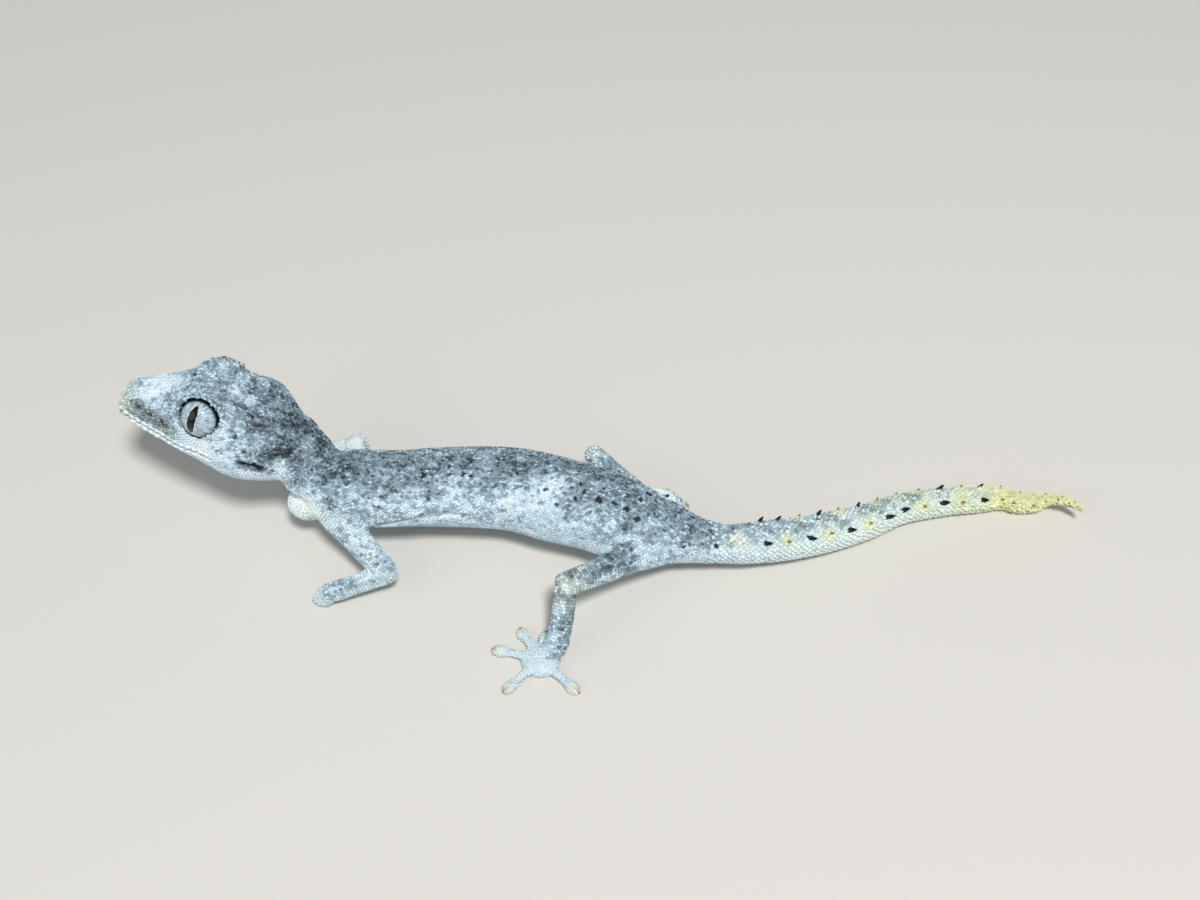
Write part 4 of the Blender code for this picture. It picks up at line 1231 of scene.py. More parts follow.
def chart_places(bone, points, centre_angle, top):
    """Where points of a bone's skin lie in the bake map. Feet lie flat there, and all else is unrolled."""
    low_u, low_v, high_u, high_v = CHARTS[bone.name]
    if bone.name in FLAT_CHARTS:
        low = bone.centres[:, :2].min(axis=0) - FLAT_MARGIN
        high = bone.centres[:, :2].max(axis=0) + FLAT_MARGIN
        share = (points[..., :2] - low) / (high - low)
        u = 0.48 * share[..., 0] + np.where(top, 0.0, 0.52)
        v = share[..., 1]
    else:
        located = bone.locate(points.reshape(-1, 3))
        distance, angle = (values.reshape(points.shape[:-1]) for values in located)
        angle = centre_angle + (angle - centre_angle + math.pi) % (2 * math.pi) - math.pi
        u = (distance + 1.0) / (bone.lengths[-1] + 2.0)
        v = (angle / (2 * math.pi) + 0.5) * 0.96 + 0.02
    u, v = np.clip(u, 0, 1), np.clip(v, 0, 1)
    return np.stack([low_u + (high_u - low_u) * u, low_v + (high_v - low_v) * v], axis=-1)


def chart_place(bone, root, angle):
    """Where one point lies in the bake map, at an angle round its bone."""
    return chart_places(bone, root[None], np.array([angle]), np.array([True]))[0]


def skin_chart(points, faces, face_labels):
    """The bake map's place of every corner of the skin."""
    corners = points[faces]
    places = np.zeros((len(faces), 4, 2))
    top = quad_normals(corners)[:, 2:] > 0
    for label, bone in enumerate(BONES):
        here = face_labels == label
        if here.any():
            angle = bone.locate(corners[here].mean(axis=1))[1]
            places[here] = chart_places(bone, corners[here], angle[:, None], top[here])
    return places


def fast_mesh(name, points, faces):
    """A mesh from arrays of points in layout millimetres and of faces with the same number of corners."""
    mesh = bpy.data.meshes.new(name)
    low, high = (np.array(corner) for corner in CAD_BOX)
    inside = np.clip(metres(points), low + EDGE, high - EDGE)
    inside[:, 2] = np.maximum(inside[:, 2] - EDGE, 0.0)
    mesh.vertices.add(len(points))
    mesh.vertices.foreach_set("co", inside.astype(np.float32).ravel())
    mesh.loops.add(faces.size)
    mesh.loops.foreach_set("vertex_index", faces.astype(np.int32).ravel())
    mesh.polygons.add(len(faces))
    mesh.polygons.foreach_set("loop_start", np.arange(0, faces.size, faces.shape[1], dtype=np.int32))
    mesh.update(calc_edges=True)
    mesh.validate()
    mesh.shade_smooth()
    return mesh


def add_fact(mesh, name, values):
    """Keeps a number or a vector for each point of a mesh, which the shaders read."""
    kind, key = ("FLOAT_VECTOR", "vector") if values.ndim == 2 else ("FLOAT", "value")
    mesh.attributes.new(name, kind, "POINT").data.foreach_set(key, values.astype(np.float32).ravel())


def add_chart(mesh, corners):
    mesh.uv_layers.new(name="OFBake").data.foreach_set("uv", corners.astype(np.float32).ravel())


def add_facts(mesh, roots, tone, corners, depth):
    """Gives a mesh each point's root, tone, markings with painted shade, and depth, which is its share of
    painted crevice shade, and its corners' places in the bake map.
    """
    for name, values in (("root", roots), ("tone", tone[:, :3]), ("mark_and_shade", tone[:, 3]), ("depth", depth)):
        add_fact(mesh, name, values)
    add_chart(mesh, corners)


def show(name, mesh, look):
    made = link(name, mesh)
    mesh.materials.append(look)
    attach(made, "root")
    return made


class Grid:
    """Cells of space that tell whether a point is too near to one that is already in."""

    def __init__(self, cell):
        self.cell = cell
        self.cells = {}

    def key(self, point):
        return tuple(int(math.floor(value / self.cell)) for value in point)

    def put(self, point):
        self.cells.setdefault(self.key(point), []).append(point)

    def free(self, point, reach):
        """True where no other point lies within reach, which is at most the size of a cell."""
        x, y, z = self.key(point)
        for i in (x - 1, x, x + 1):
            for j in (y - 1, y, y + 1):
                for k in (z - 1, z, z + 1):
                    for other in self.cells.get((i, j, k), ()):
                        if (other - point).length_squared < reach * reach:
                            return False
        return True


def bare(point, normal):
    """True where the skin has no granules: on the eyes, in the mouth, the pits and flat on the floor."""
    if point.z < BARE_HEIGHT and normal.z < BARE_FACING:
        return True
    place = np.array(point)
    behind, out, above = in_head(place)
    if behind > HEAD_LENGTH:
        return False
    if np.linalg.norm(place - eye_centre(math.copysign(1, out))) < EYE_RADIUS + EYE_BARE:
        return True
    if behind < MOUTH_END and abs(above - mouth_height(behind)) < MOUTH_BARE:
        return True
    on_right = np.array((behind, abs(out), above))
    at_ear = on_right - EAR_PLACE
    over_ear = (at_ear[2] + EAR_SLANT * at_ear[0]) / EAR_HALF[1]
    if (at_ear[0] / EAR_HALF[0]) ** 2 + over_ear**2 < 1 and abs(at_ear[1]) < EAR_BARE:
        return True
    return np.linalg.norm(on_right - NOSTRIL_PLACE) < NOSTRIL_BARE


def lattice(bone, spacing, draw):
    """Places of granules in rows round a bone, each row half a step on from the one before."""
    points = []
    shares = RING_STEPS if bone.name.endswith(("arm", "leg")) else CROSS_STEPS
    step, around, uneven = (share * spacing for share in shares)
    for k in range(int(bone.lengths[-1] / step) + 1):
        distance = k * step
        width, top, bottom = (np.interp(distance, bone.lengths, values)
                              for values in (bone.widths, bone.tops, bone.bottoms))
        count = max(LEAST_ROUND, int(round(math.pi * (width + (top + bottom) / 2) / around)))
        turn = (np.arange(count) + 0.5 * (k % 2)) / count * 2 * math.pi - math.pi
        turn += draw.normal(0, uneven / max(width, 0.3), count)
        points.append(bone.surface(distance + draw.normal(0, uneven, count), turn))
    return np.vstack(points)


def lip_plates():
    """Places and half sizes of the larger plates along both lips, with one across the snout's tip."""
    plates = []
    for side in (-1, 1):
        for k in range(LIP_COUNT):
            behind = LIP_START + LIP_STEP * k
            width = np.interp(behind, *np.array(HEAD_PROFILE).T[:2])
            size = [full - less * k / (LIP_COUNT - 1) for full, less in zip(LIP_PLATE, LIP_LESS)]
            for lift in LIP_LIFTS:
                plates.append((head_point(behind, side * width, mouth_height(behind) + lift), size))
    for lift, half in SNOUT_PLATES:
        plates.append((head_point(SNOUT_PLATE_BEHIND, 0, lift), (half, SNOUT_PLATE_HALF)))
    return plates


def rim_plates():
    """Places and half sizes of the scales that ring each eye."""
    plates = []
    for side in (-1, 1):
        look, across, over = eye_axes(side)
        for reach, radius, size, shift in RIM_ROWS:
            for spoke in circle(across, over, turns(RIM_COUNT, shift)):
                plates.append((eye_centre(side) + look * reach + spoke * radius, (size, size)))
    return plates


def place_granules(points, faces):
    """Places, normals and half sizes of all granules and plates on the skin."""
    draw = np.random.default_rng(SEED)
    grid = Grid(GRID_CELL)
    placed = []

    def settle(location, normal, half_sizes, reach):
        if grid.free(location, reach) and not bare(location, normal):
            grid.put(location)
            placed.append((location, normal, half_sizes))

    def settle_near(place, half_sizes, reach):
        location, normal, _, distance = SKIN_TREE.find_nearest(Vector(place))
        if distance <= SURFACE_SLACK:
            settle(location, normal, half_sizes, reach)

    for place, size in lip_plates() + rim_plates():
        settle_near(place, size, PLATE_CLEARANCE * sum(size))
    for k, bone in enumerate(BONES):
        if bone.name in FLAT_CHARTS:
            continue
        spacing = SPACING[bone.name]
        rows = lattice(bone, spacing, draw)
        for place in rows[label_points(rows)[0] == k]:
            settle_near(place, (GRANULE_COVER * spacing,) * 2, ROW_CLEARANCE * spacing)
    corners = points[faces]
    across = quad_normals(corners)
    areas = np.linalg.norm(across, axis=1)
    count = FREE_TRIES
    picks = draw.choice(len(faces), count, p=areas / areas.sum())
    shares = draw.random((count, 2, 1))
    first, second, third, fourth = corners[picks].transpose(1, 0, 2)
    low = first + shares[:, 0] * (second - first)
    high = fourth + shares[:, 0] * (third - fourth)
    places = low + shares[:, 1] * (high - low)
    spacings = np.array([SPACING[bone.name] for bone in BONES])[label_points(places)[0]]
    for place, normal, spacing in zip(places, unit(across)[picks], spacings):
        half_sizes = (GRANULE_COVER * spacing * FREE_SIZE,) * 2
        settle(Vector(place), Vector(normal), half_sizes, FREE_CLEARANCE * spacing)
    return [np.array(values) for values in zip(*placed)]


def granule_ways(roots, labels, rows):
    """The way each granule points, back along its bone."""
    ways = np.zeros_like(roots)
    for k, bone in enumerate(BONES):
        here = labels == k
        ways[here] = bone.along[rows[here]]
    return ways


def granule_charts(roots, normals, labels, rows):
    """Where each granule lies in the bake map."""
    places = np.zeros((len(roots), 2))
    for label, bone in enumerate(BONES):
        here = labels == label
        angle = bone.place(roots[here], rows[here])[1]
        places[here] = chart_places(bone, roots[here], angle, normals[here, 2] > 0)
    return places


def pointed_faces(rings, sides, count):
    """Triangles of many like shapes, each with rings of points and, as its last point, a tip."""
    faces = []
    last = (rings - 1) * sides
    for start in range(0, last, sides):
        for k in range(sides):
            a, b = start + k, start + (k + 1) % sides
            faces += [(a, b, b + sides), (a, b + sides, a + sides)]
    faces += [(last + k, last + (k + 1) % sides, last + sides) for k in range(sides)]
    return (np.array(faces) + (last + sides + 1) * np.arange(count)[:, None, None]).reshape(-1, 3)


def granule_mesh(name, roots, normals, sizes, ways, tilt, places, tone):
    """One mesh of low six-sided domes, whose rear edge is a little raised."""
    draw = np.random.default_rng(SEED + len(roots))
    count = len(roots)
    across = unit(np.cross(normals, ways))
    lean = unit(normals - np.cross(across, normals) * tilt[:, None])
    along = np.cross(across, lean)
    height = GRANULE_HEIGHT * sizes.min(axis=1) * 2 * draw.uniform(*DOME_HEIGHTS, count)
    spokes = circle((1, 0), (0, 1), turns(DOME_SIDES, 0.5))
    oval = (spokes[:, :1] * along[:, None] * sizes[:, None, :1]
            + spokes[:, 1:] * across[:, None] * sizes[:, None, 1:])
    rings, spread, shade = [], [], []
    for share, lift, deep in DOME_RINGS:
        wobble = draw.uniform(*DOME_WIDTHS, (count, DOME_SIDES, 1)) * share
        rings.append(roots[:, None] + wobble * oval + (lift * height)[:, None, None] * lean[:, None])
        spread.append(spokes * share)
        shade += [deep] * DOME_SIDES
    tip = roots + lean * height[:, None] + along * (TIP_BACK * sizes[:, :1])
    points = np.concatenate(rings + [tip[:, None]], axis=1).reshape(-1, 3)
    faces = pointed_faces(len(DOME_RINGS), DOME_SIDES, count)
    mesh = fast_mesh(name, on_floor(points), faces)
    spread = np.vstack(spread + [(0, 0)]) * PATCH / 2
    charts = (places[:, None] + spread).reshape(-1, 2)[faces]
    roots, tone = np.repeat(roots, DOME_POINTS, axis=0), np.repeat(tone, DOME_POINTS, axis=0)
    # Each point's depth is its share of painted shade: full at a dome's lowest ring, none at its tip.
    add_facts(mesh, roots, tone, charts, np.tile(shade + [0.0], count))
    return mesh


def curved_cone(root, tip, bend, radius):
    """Points of a bent cone with a round tip, whose foot is sunk into the skin."""
    along = unit(tip - root)
    across = unit(np.cross(along, (0.31, 0.17, 0.94)))
    ring = circle(across, np.cross(along, across), turns(CONE_SIDES))
    points = [root - along * FOOT_DEPTH * np.linalg.norm(tip - root) + ring * radius * FOOT_WIDTH]
    for share in np.arange(CONE_RINGS) / CONE_RINGS:
        middle = root + share * (tip - root) + 4 * share * (1 - share) * bend
        points.append(middle + ring * radius * (1 - share) ** 0.8)
    return np.vstack(points + [tip])


def cones_mesh(name, cones):
    """One mesh of many cones, each with its place in the bake map and the height above its foot."""
    points, lifts, charts = [], [], []
    spokes = circle((1, 0), (0, 1), np.arange(CONE_POINTS) * 2 * math.pi / CONE_SIDES)
    for root, tip, bend, radius, chart in cones:
        points.append(curved_cone(root, tip, bend, radius))
        way = tip - root
        lifts.append(np.clip((points[-1] - root) @ way / (way @ way), 0, 1))
        charts.append(chart + spokes * (1 - lifts[-1])[:, None] * PATCH / 2)
    faces = pointed_faces(CONE_RINGS + 1, CONE_SIDES, len(cones))
    mesh = fast_mesh(name, on_floor(np.vstack(points)), faces)
    roots = np.array([cone[0] for cone in cones])
    tone = np.repeat(tone_values(roots, *label_points(roots)), CONE_POINTS, axis=0)
    add_fact(mesh, "lift", np.concatenate(lifts))
    no_depth = np.zeros(len(tone))
    add_facts(mesh, np.repeat(roots, CONE_POINTS, axis=0), tone, np.vstack(charts)[faces], no_depth)
    return mesh


def tail_cone(draw, distance, degrees, length, radius, sweep):
    """A spine or point of the tail, which leans back along it."""
    bone = BONE_OF["tail"]
    row = int(np.abs(bone.lengths - distance).argmin())
    turn = math.radians(degrees)
    location, normal, _, _ = SKIN_TREE.find_nearest(Vector(bone.spot(distance, turn)))
    root, normal = np.array(location), np.array(normal)
    way = unit(normal + sweep * bone.along[row] + CONE_SWAY * draw.normal(0, 1, 3))
    return root, root + way * length, normal * 0.12 * length, radius, chart_place(bone, root, turn)


def spine_cones(draw):
    """Dark spines, yellow ones and the small points round their feet, in two rows along the tail."""
    bone = BONE_OF["tail"]
    spines_of, points = {"k": [], "y": []}, []
    for degrees, spines in zip(SPINE_ROWS, (LEFT_SPINES, RIGHT_SPINES)):
        for distance, _, kind in spine_places(degrees, spines):
            width = float(np.interp(distance, bone.lengths, bone.widths))
            size = min(1.0, 0.35 + 0.4 * width) * draw.uniform(0.88, 1.08)
            if degrees > 0:
                size *= RIGHT_SIZE
            if kind == "y":
                size *= YELLOW_SIZE
            turned = degrees + draw.uniform(-4, 4)
            spine = tail_cone(draw, distance, turned, SPINE_LENGTH * size, SPINE_RADIUS * size, SPINE_SWEEP)
            spines_of[kind].append(spine)
            length, radius, sweep = FOOT_POINT
            for _ in range(FOOT_POINTS):
                ring = draw.uniform(0, 2 * math.pi)
                aside = degrees + math.degrees(0.5 * size * math.sin(ring) / max(width, 0.3))
                place = distance + 0.55 * size * math.cos(ring)
                points.append(tail_cone(draw, place, aside, length * size, radius * size, sweep))
    return spines_of["k"], spines_of["y"], points


def point_cones(draw):
    """Small points all along the upper side of the tail, longer and closer toward its tip."""
    bone = BONE_OF["tail"]
    start = spine_start()
    points = []
    for distance in np.arange(start - POINTS_AHEAD, bone.lengths[-1] - 0.6, POINT_STEP):
        width = float(np.interp(distance, bone.lengths, bone.widths))
        chance, more = POINT_CHANCES
        for degrees in POINT_ROWS:
            if draw.random() < chance + more * (distance > start + POINTS_CLOSE):
                length = draw.uniform(*POINT_LENGTHS) * min(1.0, 0.5 + 0.4 * width)
                length *= 1.0 + POINT_GROWTH * float(ease(distance - start, *POINTS_GROW))
                place, turned = distance + draw.uniform(-0.2, 0.2), degrees + draw.uniform(-7, 7)
                points.append(tail_cone(draw, place, turned, length, POINT_RADIUS, POINT_SWEEP))
    return points


def brow_cones():
    """The row of dark spines over each eye."""
    bone = BONE_OF["head"]
    cones = []
    for side in (-1, 1):
        look = eye_axes(side)[0]
        rear, over = (unit(way - look * np.dot(way, look)) for way in (BACK, UP))
        for degrees, length in BROW_SPINES:
            turn = math.radians(degrees)
            spoke = math.cos(turn) * rear + math.sin(turn) * over
            root = eye_centre(side) + RIM_OUT * look + spoke * (EYE_RADIUS + BROW_OUT)
            tip = root + (spoke * 0.72 + look * 0.3 + BACK * 0.3) * length * 0.7
            chart = chart_place(bone, root, bone.locate(root[None])[1][0])
            cones.append((root, tip, spoke * 0.05, BROW_RADIUS, chart))
    return cones


def claws():
    """A small bent claw over the end of each open toe."""
    cones = []
    for name, (sole, _, _, toes) in FEET.items():
        for place in toes:
            end = np.array(toe_rows(sole, place)[-1][:3])
            way = unit((end - sole) * (1, 1, 0))
            root = end + way * 0.35 + (0, 0, 0.42)
            tip = root + way * CLAW_LENGTH - np.array((0, 0, 0.25))
            chart = chart_place(BONE_OF[name], root, 0.0)
            cones.append((root, tip, np.array((0, 0, 0.08)), CLAW_RADIUS, chart))
    return cones


class Nodes:
    """Adds shader nodes to a material one by one."""

    def __init__(self, tree):
        self.tree = tree

    def add(self, kind, inputs, **values):
        """A new node whose inputs, from their key to a link or a value, are as told."""
        made = self.tree.nodes.new(kind)
        for key, value in values.items():
            setattr(made, key, value)
        self.fill(made, inputs)
        return made

    def fill(self, node, inputs):
        for key, value in inputs.items():
            if isinstance(value, bpy.types.NodeSocket):
                self.tree.links.new(value, node.inputs[key])
            else:
                node.inputs[key].default_value = value

    def math(self, operation, *values):
        return self.add("ShaderNodeMath", dict(enumerate(values)), operation=operation).outputs[0]

    def times(self, value, *others):
        for other in others:
            value = self.math("MULTIPLY", value, other)
        return value

    def ramp(self, value, start, end, low=0.0, high=1.0, kind="SMOOTHSTEP"):
        inputs = {"Value": value, "From Min": start, "From Max": end, "To Min": low, "To Max": high}
        return self.add("ShaderNodeMapRange", inputs, interpolation_type=kind).outputs[0]

    def noise(self, vector, scale, detail, roughness, distortion=0.0):
        inputs = {"Vector": vector, "Scale": scale, "Detail": detail, "Roughness": roughness,
                  "Distortion": distortion}
        return self.add("ShaderNodeTexNoise", inputs).outputs["Fac"]

    def cells(self, vector, scale):
        return self.add("ShaderNodeTexVoronoi", {"Vector": vector, "Scale": scale}).outputs["Distance"]

    def mix(self, share, a, b, blend="MIX"):
        inputs = {0: share, 6: a, 7: b}
        return self.add("ShaderNodeMix", inputs, data_type="RGBA", blend_type=blend).outputs[2]

    def fact(self, name, output="Fac"):
        return self.add("ShaderNodeAttribute", {}, attribute_name=name).outputs[output]

    def parts(self, vector):
        return self.add("ShaderNodeSeparateXYZ", {0: vector}).outputs


def new_material(name):
    """A material with the shader and a way to add nodes to it."""
    made = bpy.data.materials.new(name)
    made.use_nodes = True
    return made, Nodes(made.node_tree), made.node_tree.nodes["Principled BSDF"]


def skin_shade(nodes, root, dark):
    """How dark the skin is, from the dark share of its tone, the mottling, fine lines, dots, and markings
    with painted shade of the ear, the mouth's line and some folds.
    """
    stretched = {0: root, 1: SPECK_STRETCH}
    place = nodes.add("ShaderNodeVectorMath", stretched, operation="MULTIPLY").outputs[0]
    patchy = nodes.ramp(dark, *PATCHY)
    shade = nodes.math("MULTIPLY_ADD", dark, *SHADE_OF_DARK)
    for scale, detail, strength in SPECKS:
        speck = nodes.math("SUBTRACT", nodes.noise(place, scale, detail, 0.6), 0.5)
        shade = nodes.math("ADD", shade, nodes.times(speck, strength, patchy))
    lines = nodes.math("ABSOLUTE", nodes.math("SUBTRACT", nodes.noise(place, *LINE_NOISE), 0.5))
    lines = nodes.times(nodes.ramp(lines, LINE_WIDTH, 0.0), nodes.ramp(dark, 0.15, 0.6))
    shade = nodes.math("MULTIPLY_ADD", lines, LINE_DARK, shade)
    shade = nodes.math("SUBTRACT", shade, nodes.times(nodes.fact("mark_and_shade"), MARK_SHADE))
    dot = nodes.times(nodes.ramp(nodes.cells(root, DOT_CELLS), *DOT_EDGE), nodes.ramp(dark, 0.3, 0.6))
    return nodes.math("MULTIPLY_ADD", dot, DOT_DARK, shade)


def skin_scale(nodes, shade):
    """The skin's colour for how dark it is."""
    low, high = SKIN_COLOURS[0][0], SKIN_COLOURS[-1][0]
    ramp = nodes.add("ShaderNodeValToRGB", {0: nodes.ramp(shade, low, high, kind="LINEAR")})
    stops = ramp.color_ramp.elements
    for k, (place, tint) in enumerate(SKIN_COLOURS):
        stop = stops[k] if k < len(stops) - 1 or k == len(SKIN_COLOURS) - 1 else stops.new(0.5)
        stop.position = (place - low) / (high - low)
        stop.color = tint
    return ramp.outputs[0]


def skin_material():
    """The colours of skin and granules: mottled dark back, pale sides, cream belly, yellow tail tip, and
    painted shade in the crevices between granules.
    """
    look, nodes, shader = new_material("gecko skin")
    dark, warm, yellow = nodes.parts(nodes.fact("tone", "Vector"))
    plain = skin_scale(nodes, skin_shade(nodes, nodes.fact("root", "Vector"), dark))
    base = nodes.mix(yellow, plain, nodes.mix(1.0, plain, YELLOW_TINT, "MULTIPLY"))
    base = nodes.mix(warm, base, nodes.mix(1.0, base, WARM_TINT, "MULTIPLY"))
    # Painted shade in the crevices between granules, from each point's depth.
    base = nodes.mix(nodes.times(nodes.fact("depth"), DEEP_SHADE), base, CREVICE_SHADE_COLOUR)
    nodes.fill(shader, {"Base Color": base, "Roughness": 0.5, "Specular IOR Level": 0.45})
    return look


def spine_material(name):
    """A soft spine, from the colour of its foot to that of its tip."""
    look, nodes, shader = new_material(name)
    base = nodes.mix(nodes.ramp(nodes.fact("lift"), 0.0, 0.55), *SPINE_COLOURS[name])
    nodes.fill(shader, {"Base Color": base, "Roughness": 0.6, "Specular IOR Level": 0.2})
    return look


def iris_colour(nodes, gaze, across, over):
    """Fine rays and veins, which get dark toward the edge of the eye, partly as the iris's own colour and
    partly as painted shade, with a painted shadow of the skin's rim at the very edge.
    """
    radius = nodes.math("SQRT", nodes.math("ADD", nodes.times(across, across), nodes.times(over, over)))
    least = nodes.math("MAXIMUM", radius, 0.05)
    spread = {key: nodes.math("DIVIDE", part, least) for key, part in ((0, across), (1, over))}
    spread[2] = nodes.times(radius, 0.12)
    rays = nodes.noise(nodes.add("ShaderNodeCombineXYZ", spread).outputs[0], 9.0, 4.0, 0.7)
    veins = nodes.noise(gaze, 2.6, 4.0, 0.7, 1.2)
    base = nodes.mix(nodes.ramp(rays, 0.4, 0.62), IRIS, RAYS)
    base = nodes.mix(nodes.ramp(veins, 0.53, 0.62, 0.0, 0.35), base, VEINS)
    edge = nodes.fact("edge")
    # Darkening toward the edge: first the iris's own dark edge with painted shade, then a painted shadow of
    # the skin's rim.
    for tint, reach in (IRIS_EDGE_AND_SHADE, EYE_RIM_SHADOW):
        base = nodes.mix(nodes.ramp(edge, *reach), base, tint)
    return base


def eye_material():
    """Pale iris with fine rays, a dark upright slit and a painted shadow of the skin's rim round its edge,
    under a clear wet coat.
    """
    look, nodes, shader = new_material("gecko eye")
    gaze = nodes.fact("gaze", "Vector")
    across, over, forward = nodes.parts(gaze)
    half_width, half_height = PUPIL_HALF
    high = nodes.math("DIVIDE", over, half_height)
    square = nodes.times(high, high)
    taper = nodes.math("SUBTRACT", 1.0, nodes.times(square, square))
    wave, height = PUPIL_WAVES
    ripple = nodes.times(nodes.math("SINE", nodes.times(over, wave)), height)
    limit = nodes.math("ADD", nodes.times(taper, half_width), ripple)
    inside = nodes.math("SUBTRACT", limit, nodes.math("ABSOLUTE", across))
    slit = nodes.times(nodes.ramp(inside, -0.03, 0.04), nodes.ramp(forward, 0.0, 0.5))
    rim = nodes.times(nodes.ramp(inside, -0.3, -0.03), 0.25)
    base = nodes.mix(rim, iris_colour(nodes, gaze, across, over), PUPIL_RIM)
    nodes.fill(shader, {"Base Color": nodes.mix(slit, base, PUPIL), "Roughness": 0.28,
                        "Specular IOR Level": 0.1, "Coat Weight": 0.8, "Coat Roughness": 0.08})
    return look


def plain_material(name, tint, roughness):
    look, nodes, shader = new_material(name)
    nodes.fill(shader, {"Base Color": tint, "Roughness": roughness})
    return look


def pupil_axis(side):
    """The way from the middle of the eye to the middle of its pupil, from the photo's near eye."""
    eye, way = photo_ray(*PUPIL_PIXEL)
    offset = eye - eye_centre(-1)
    half = offset @ way
    reach = -half - math.sqrt(max(half * half - (offset @ offset - EYE_RADIUS**2), 0.0))
    back, out, up = (offset + reach * way) @ np.stack([BACK, SIDE, UP], axis=1)
    return unit(back * BACK - side * out * SIDE + up * UP)


def eye_piece(side, name, look):
    """One eyeball, its points told as millimetres across, over and forward from its middle."""
    points, faces = ball(side, EYE_RADIUS, 96)
    from_middle = np.array(points) - eye_centre(side)
    mesh = bpy.data.meshes.new(name)
    mesh.from_pydata(metres(points).tolist(), [], faces)
    mesh.shade_smooth()
    forward = pupil_axis(side)
    over = unit(UP - forward * (UP @ forward))
    gaze = from_middle @ np.stack([np.cross(over, forward), over, forward], axis=1)
    add_fact(mesh, "gaze", gaze)
    add_fact(mesh, "edge", np.linalg.norm(np.cross(from_middle, eye_axes(side)[0]), axis=1))
    share = np.arccos(np.clip(gaze[:, 2] / EYE_RADIUS, -1, 1)) / math.pi
    turn = np.arctan2(gaze[:, 1], gaze[:, 0])
    flat = 0.5 + 0.5 * share[:, None] * circle((1, 0), (0, 1), turn)
    add_chart(mesh, flat[corner_points(mesh)])
    made = show(name, mesh, look)
    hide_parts(name.replace("_ball", ""))


def area_light(name, place, size, power):
    """A round lamp that shines at the origin."""
    light = bpy.data.lights.new(name, "AREA")
    light.shape = "DISK"
    light.size = size
    light.energy = power
    made = link(name, light)
    made.location = place
    made.rotation_euler = (-Vector(place)).to_track_quat("-Z", "Y").to_euler()


def sky():
    world = bpy.data.worlds.new("studio")
    world.use_nodes = True
    back = world.node_tree.nodes["Background"]
    back.inputs["Color"].default_value = SKY
    back.inputs["Strength"].default_value = SKY_STRENGTH
    return world


def add_floor():
    floor = bpy.data.meshes.new("floor")
    corners = [(x * FLOOR_HALF, y * FLOOR_HALF, 0) for x, y in ((-1, -1), (1, -1), (1, 1), (-1, 1))]
    floor.from_pydata(corners, [], [(0, 1, 2, 3)])
    ground = link("floor", floor)
    floor.materials.append(plain_material("floor", FLOOR_COLOUR, 0.8))


def add_camera():
    """The photo's camera."""
    camera = bpy.data.cameras.new("camera")
    camera.sensor_width = SENSOR
    camera.lens = SENSOR * FOCAL_PIXELS / PHOTO_SIZE[0]
    camera.clip_start = CLIP_START
    made = link("camera", camera)
    made.location = metres(photo_ray(PHOTO_SIZE[0] / 2, PHOTO_SIZE[1] / 2)[0])
    made.rotation_euler = (math.pi / 2 - CAMERA_ELEVATION, 0, 0)
    bpy.context.scene.camera = made


def build_stage():
    """A pale floor, soft light from above the camera's side, and the photo's camera."""
    bpy.context.scene.view_settings.view_transform = "Standard"
    bpy.context.scene.world = sky()
    add_floor()
    for name, (place, size, power) in LIGHTS.items():
        area_light(name, place, size, power)
    add_camera()


def build_skin(look):
    """One closed skin in place of all the flesh."""
    mesh = fast_mesh("skin", SKIN_POINTS, SKIN_FACES)
    face_labels = label_points(SKIN_POINTS[SKIN_FACES].mean(axis=1))[0]
    tone = tone_values(SKIN_POINTS, *label_points(SKIN_POINTS))
    charts = skin_chart(SKIN_POINTS, SKIN_FACES, face_labels)
    # Depth 1 everywhere: the skin shows only between the granules, so all of it gets full painted crevice
    # shade.
    add_facts(mesh, SKIN_POINTS, tone, charts, np.ones(len(SKIN_POINTS)))
    skin = show("skin", mesh, look)
    flesh = [name for name in frame["nodes"] if not name.endswith("_eye")]
    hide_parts(*flesh)


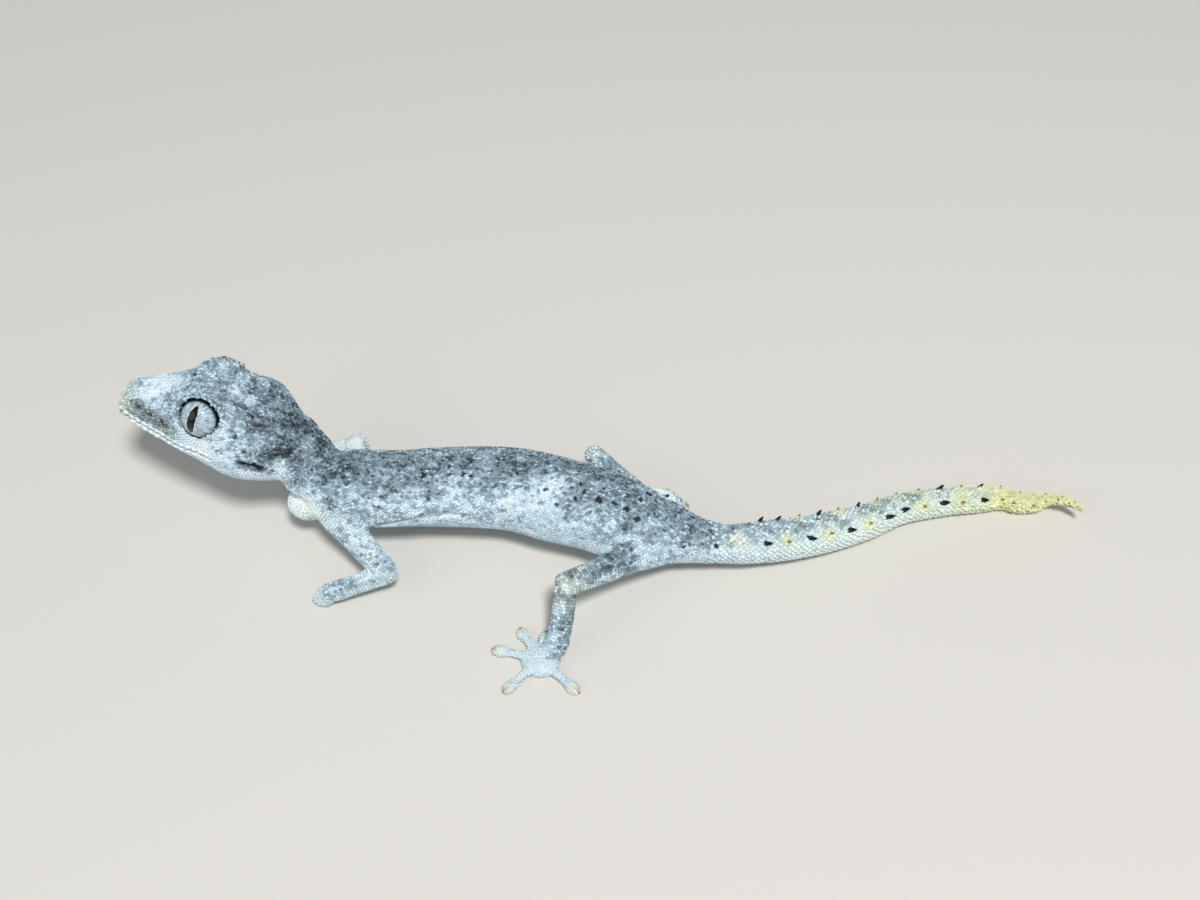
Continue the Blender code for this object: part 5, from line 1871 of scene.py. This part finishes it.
def build_granules(look):
    """The granules and plates all over the skin, in a few pieces."""
    roots, normals, sizes = place_granules(SKIN_POINTS, SKIN_FACES)
    labels, rows = label_points(roots)
    tilt = np.array([TILTS.get(bone.name, GRANULE_TILT) for bone in BONES])[labels]
    facts = (roots, normals, sizes, granule_ways(roots, labels, rows), tilt,
             granule_charts(roots, normals, labels, rows), tone_values(roots, labels, rows))
    for name, (bones, (start, end)) in PIECES.items():
        group = np.isin(labels, [BONES.index(BONE_OF[bone]) for bone in bones])
        group &= (roots[:, 0] >= start) & (roots[:, 0] < end)
        piece = show(name, granule_mesh(name, *(values[group] for values in facts)), look)


def build_cones(skin_look):
    """The spines and points of the tail, the spines over the eyes and the claws."""
    draw = np.random.default_rng(SEED)
    dark_cones, yellow_cones, small_cones = spine_cones(draw)
    small_cones += point_cones(draw)
    claw_look = plain_material("gecko claw", CLAW_COLOUR, 0.3)
    for name, cones, look, slot in (
        ("tail_spines_dark", dark_cones, spine_material("dark spine"), "tail_skin"),
        ("tail_spines_yellow", yellow_cones, spine_material("yellow spine"), "tail_tip_skin"),
        ("tail_points", small_cones, skin_look, "tail_skin"),
        ("brow_spines", brow_cones(), spine_material("brow spine"), "body_skin"),
        ("claws", claws(), claw_look, "body_skin"),
    ):
        show(name, cones_mesh(name, cones), look)


def build_animal():
    """The skin, its granules, the spines, claws and eyes."""
    skin_look = skin_material()
    build_skin(skin_look)
    build_granules(skin_look)
    build_cones(skin_look)
    eye_look = eye_material()
    for side, name in ((-1, "left_eye_ball"), (1, "right_eye_ball")):
        eye_piece(side, name, eye_look)


BONES = make_bones()
BONE_OF = {bone.name: bone for bone in BONES}
PLAIN_POINTS, SKIN_FACES = skin_body()
SKIN_POINTS = fold_skin(PLAIN_POINTS, SKIN_FACES)
SKIN_TREE = skin_tree(SKIN_POINTS, SKIN_FACES)
PLACED_MARKS_AND_SHADE = mark_and_shade_points(SKIN_TREE)
PLACED_SPOTS = [(seen_at(SKIN_TREE, x, y), radius) for x, y, radius in YELLOW_SPOTS]
build_animal()
build_stage()
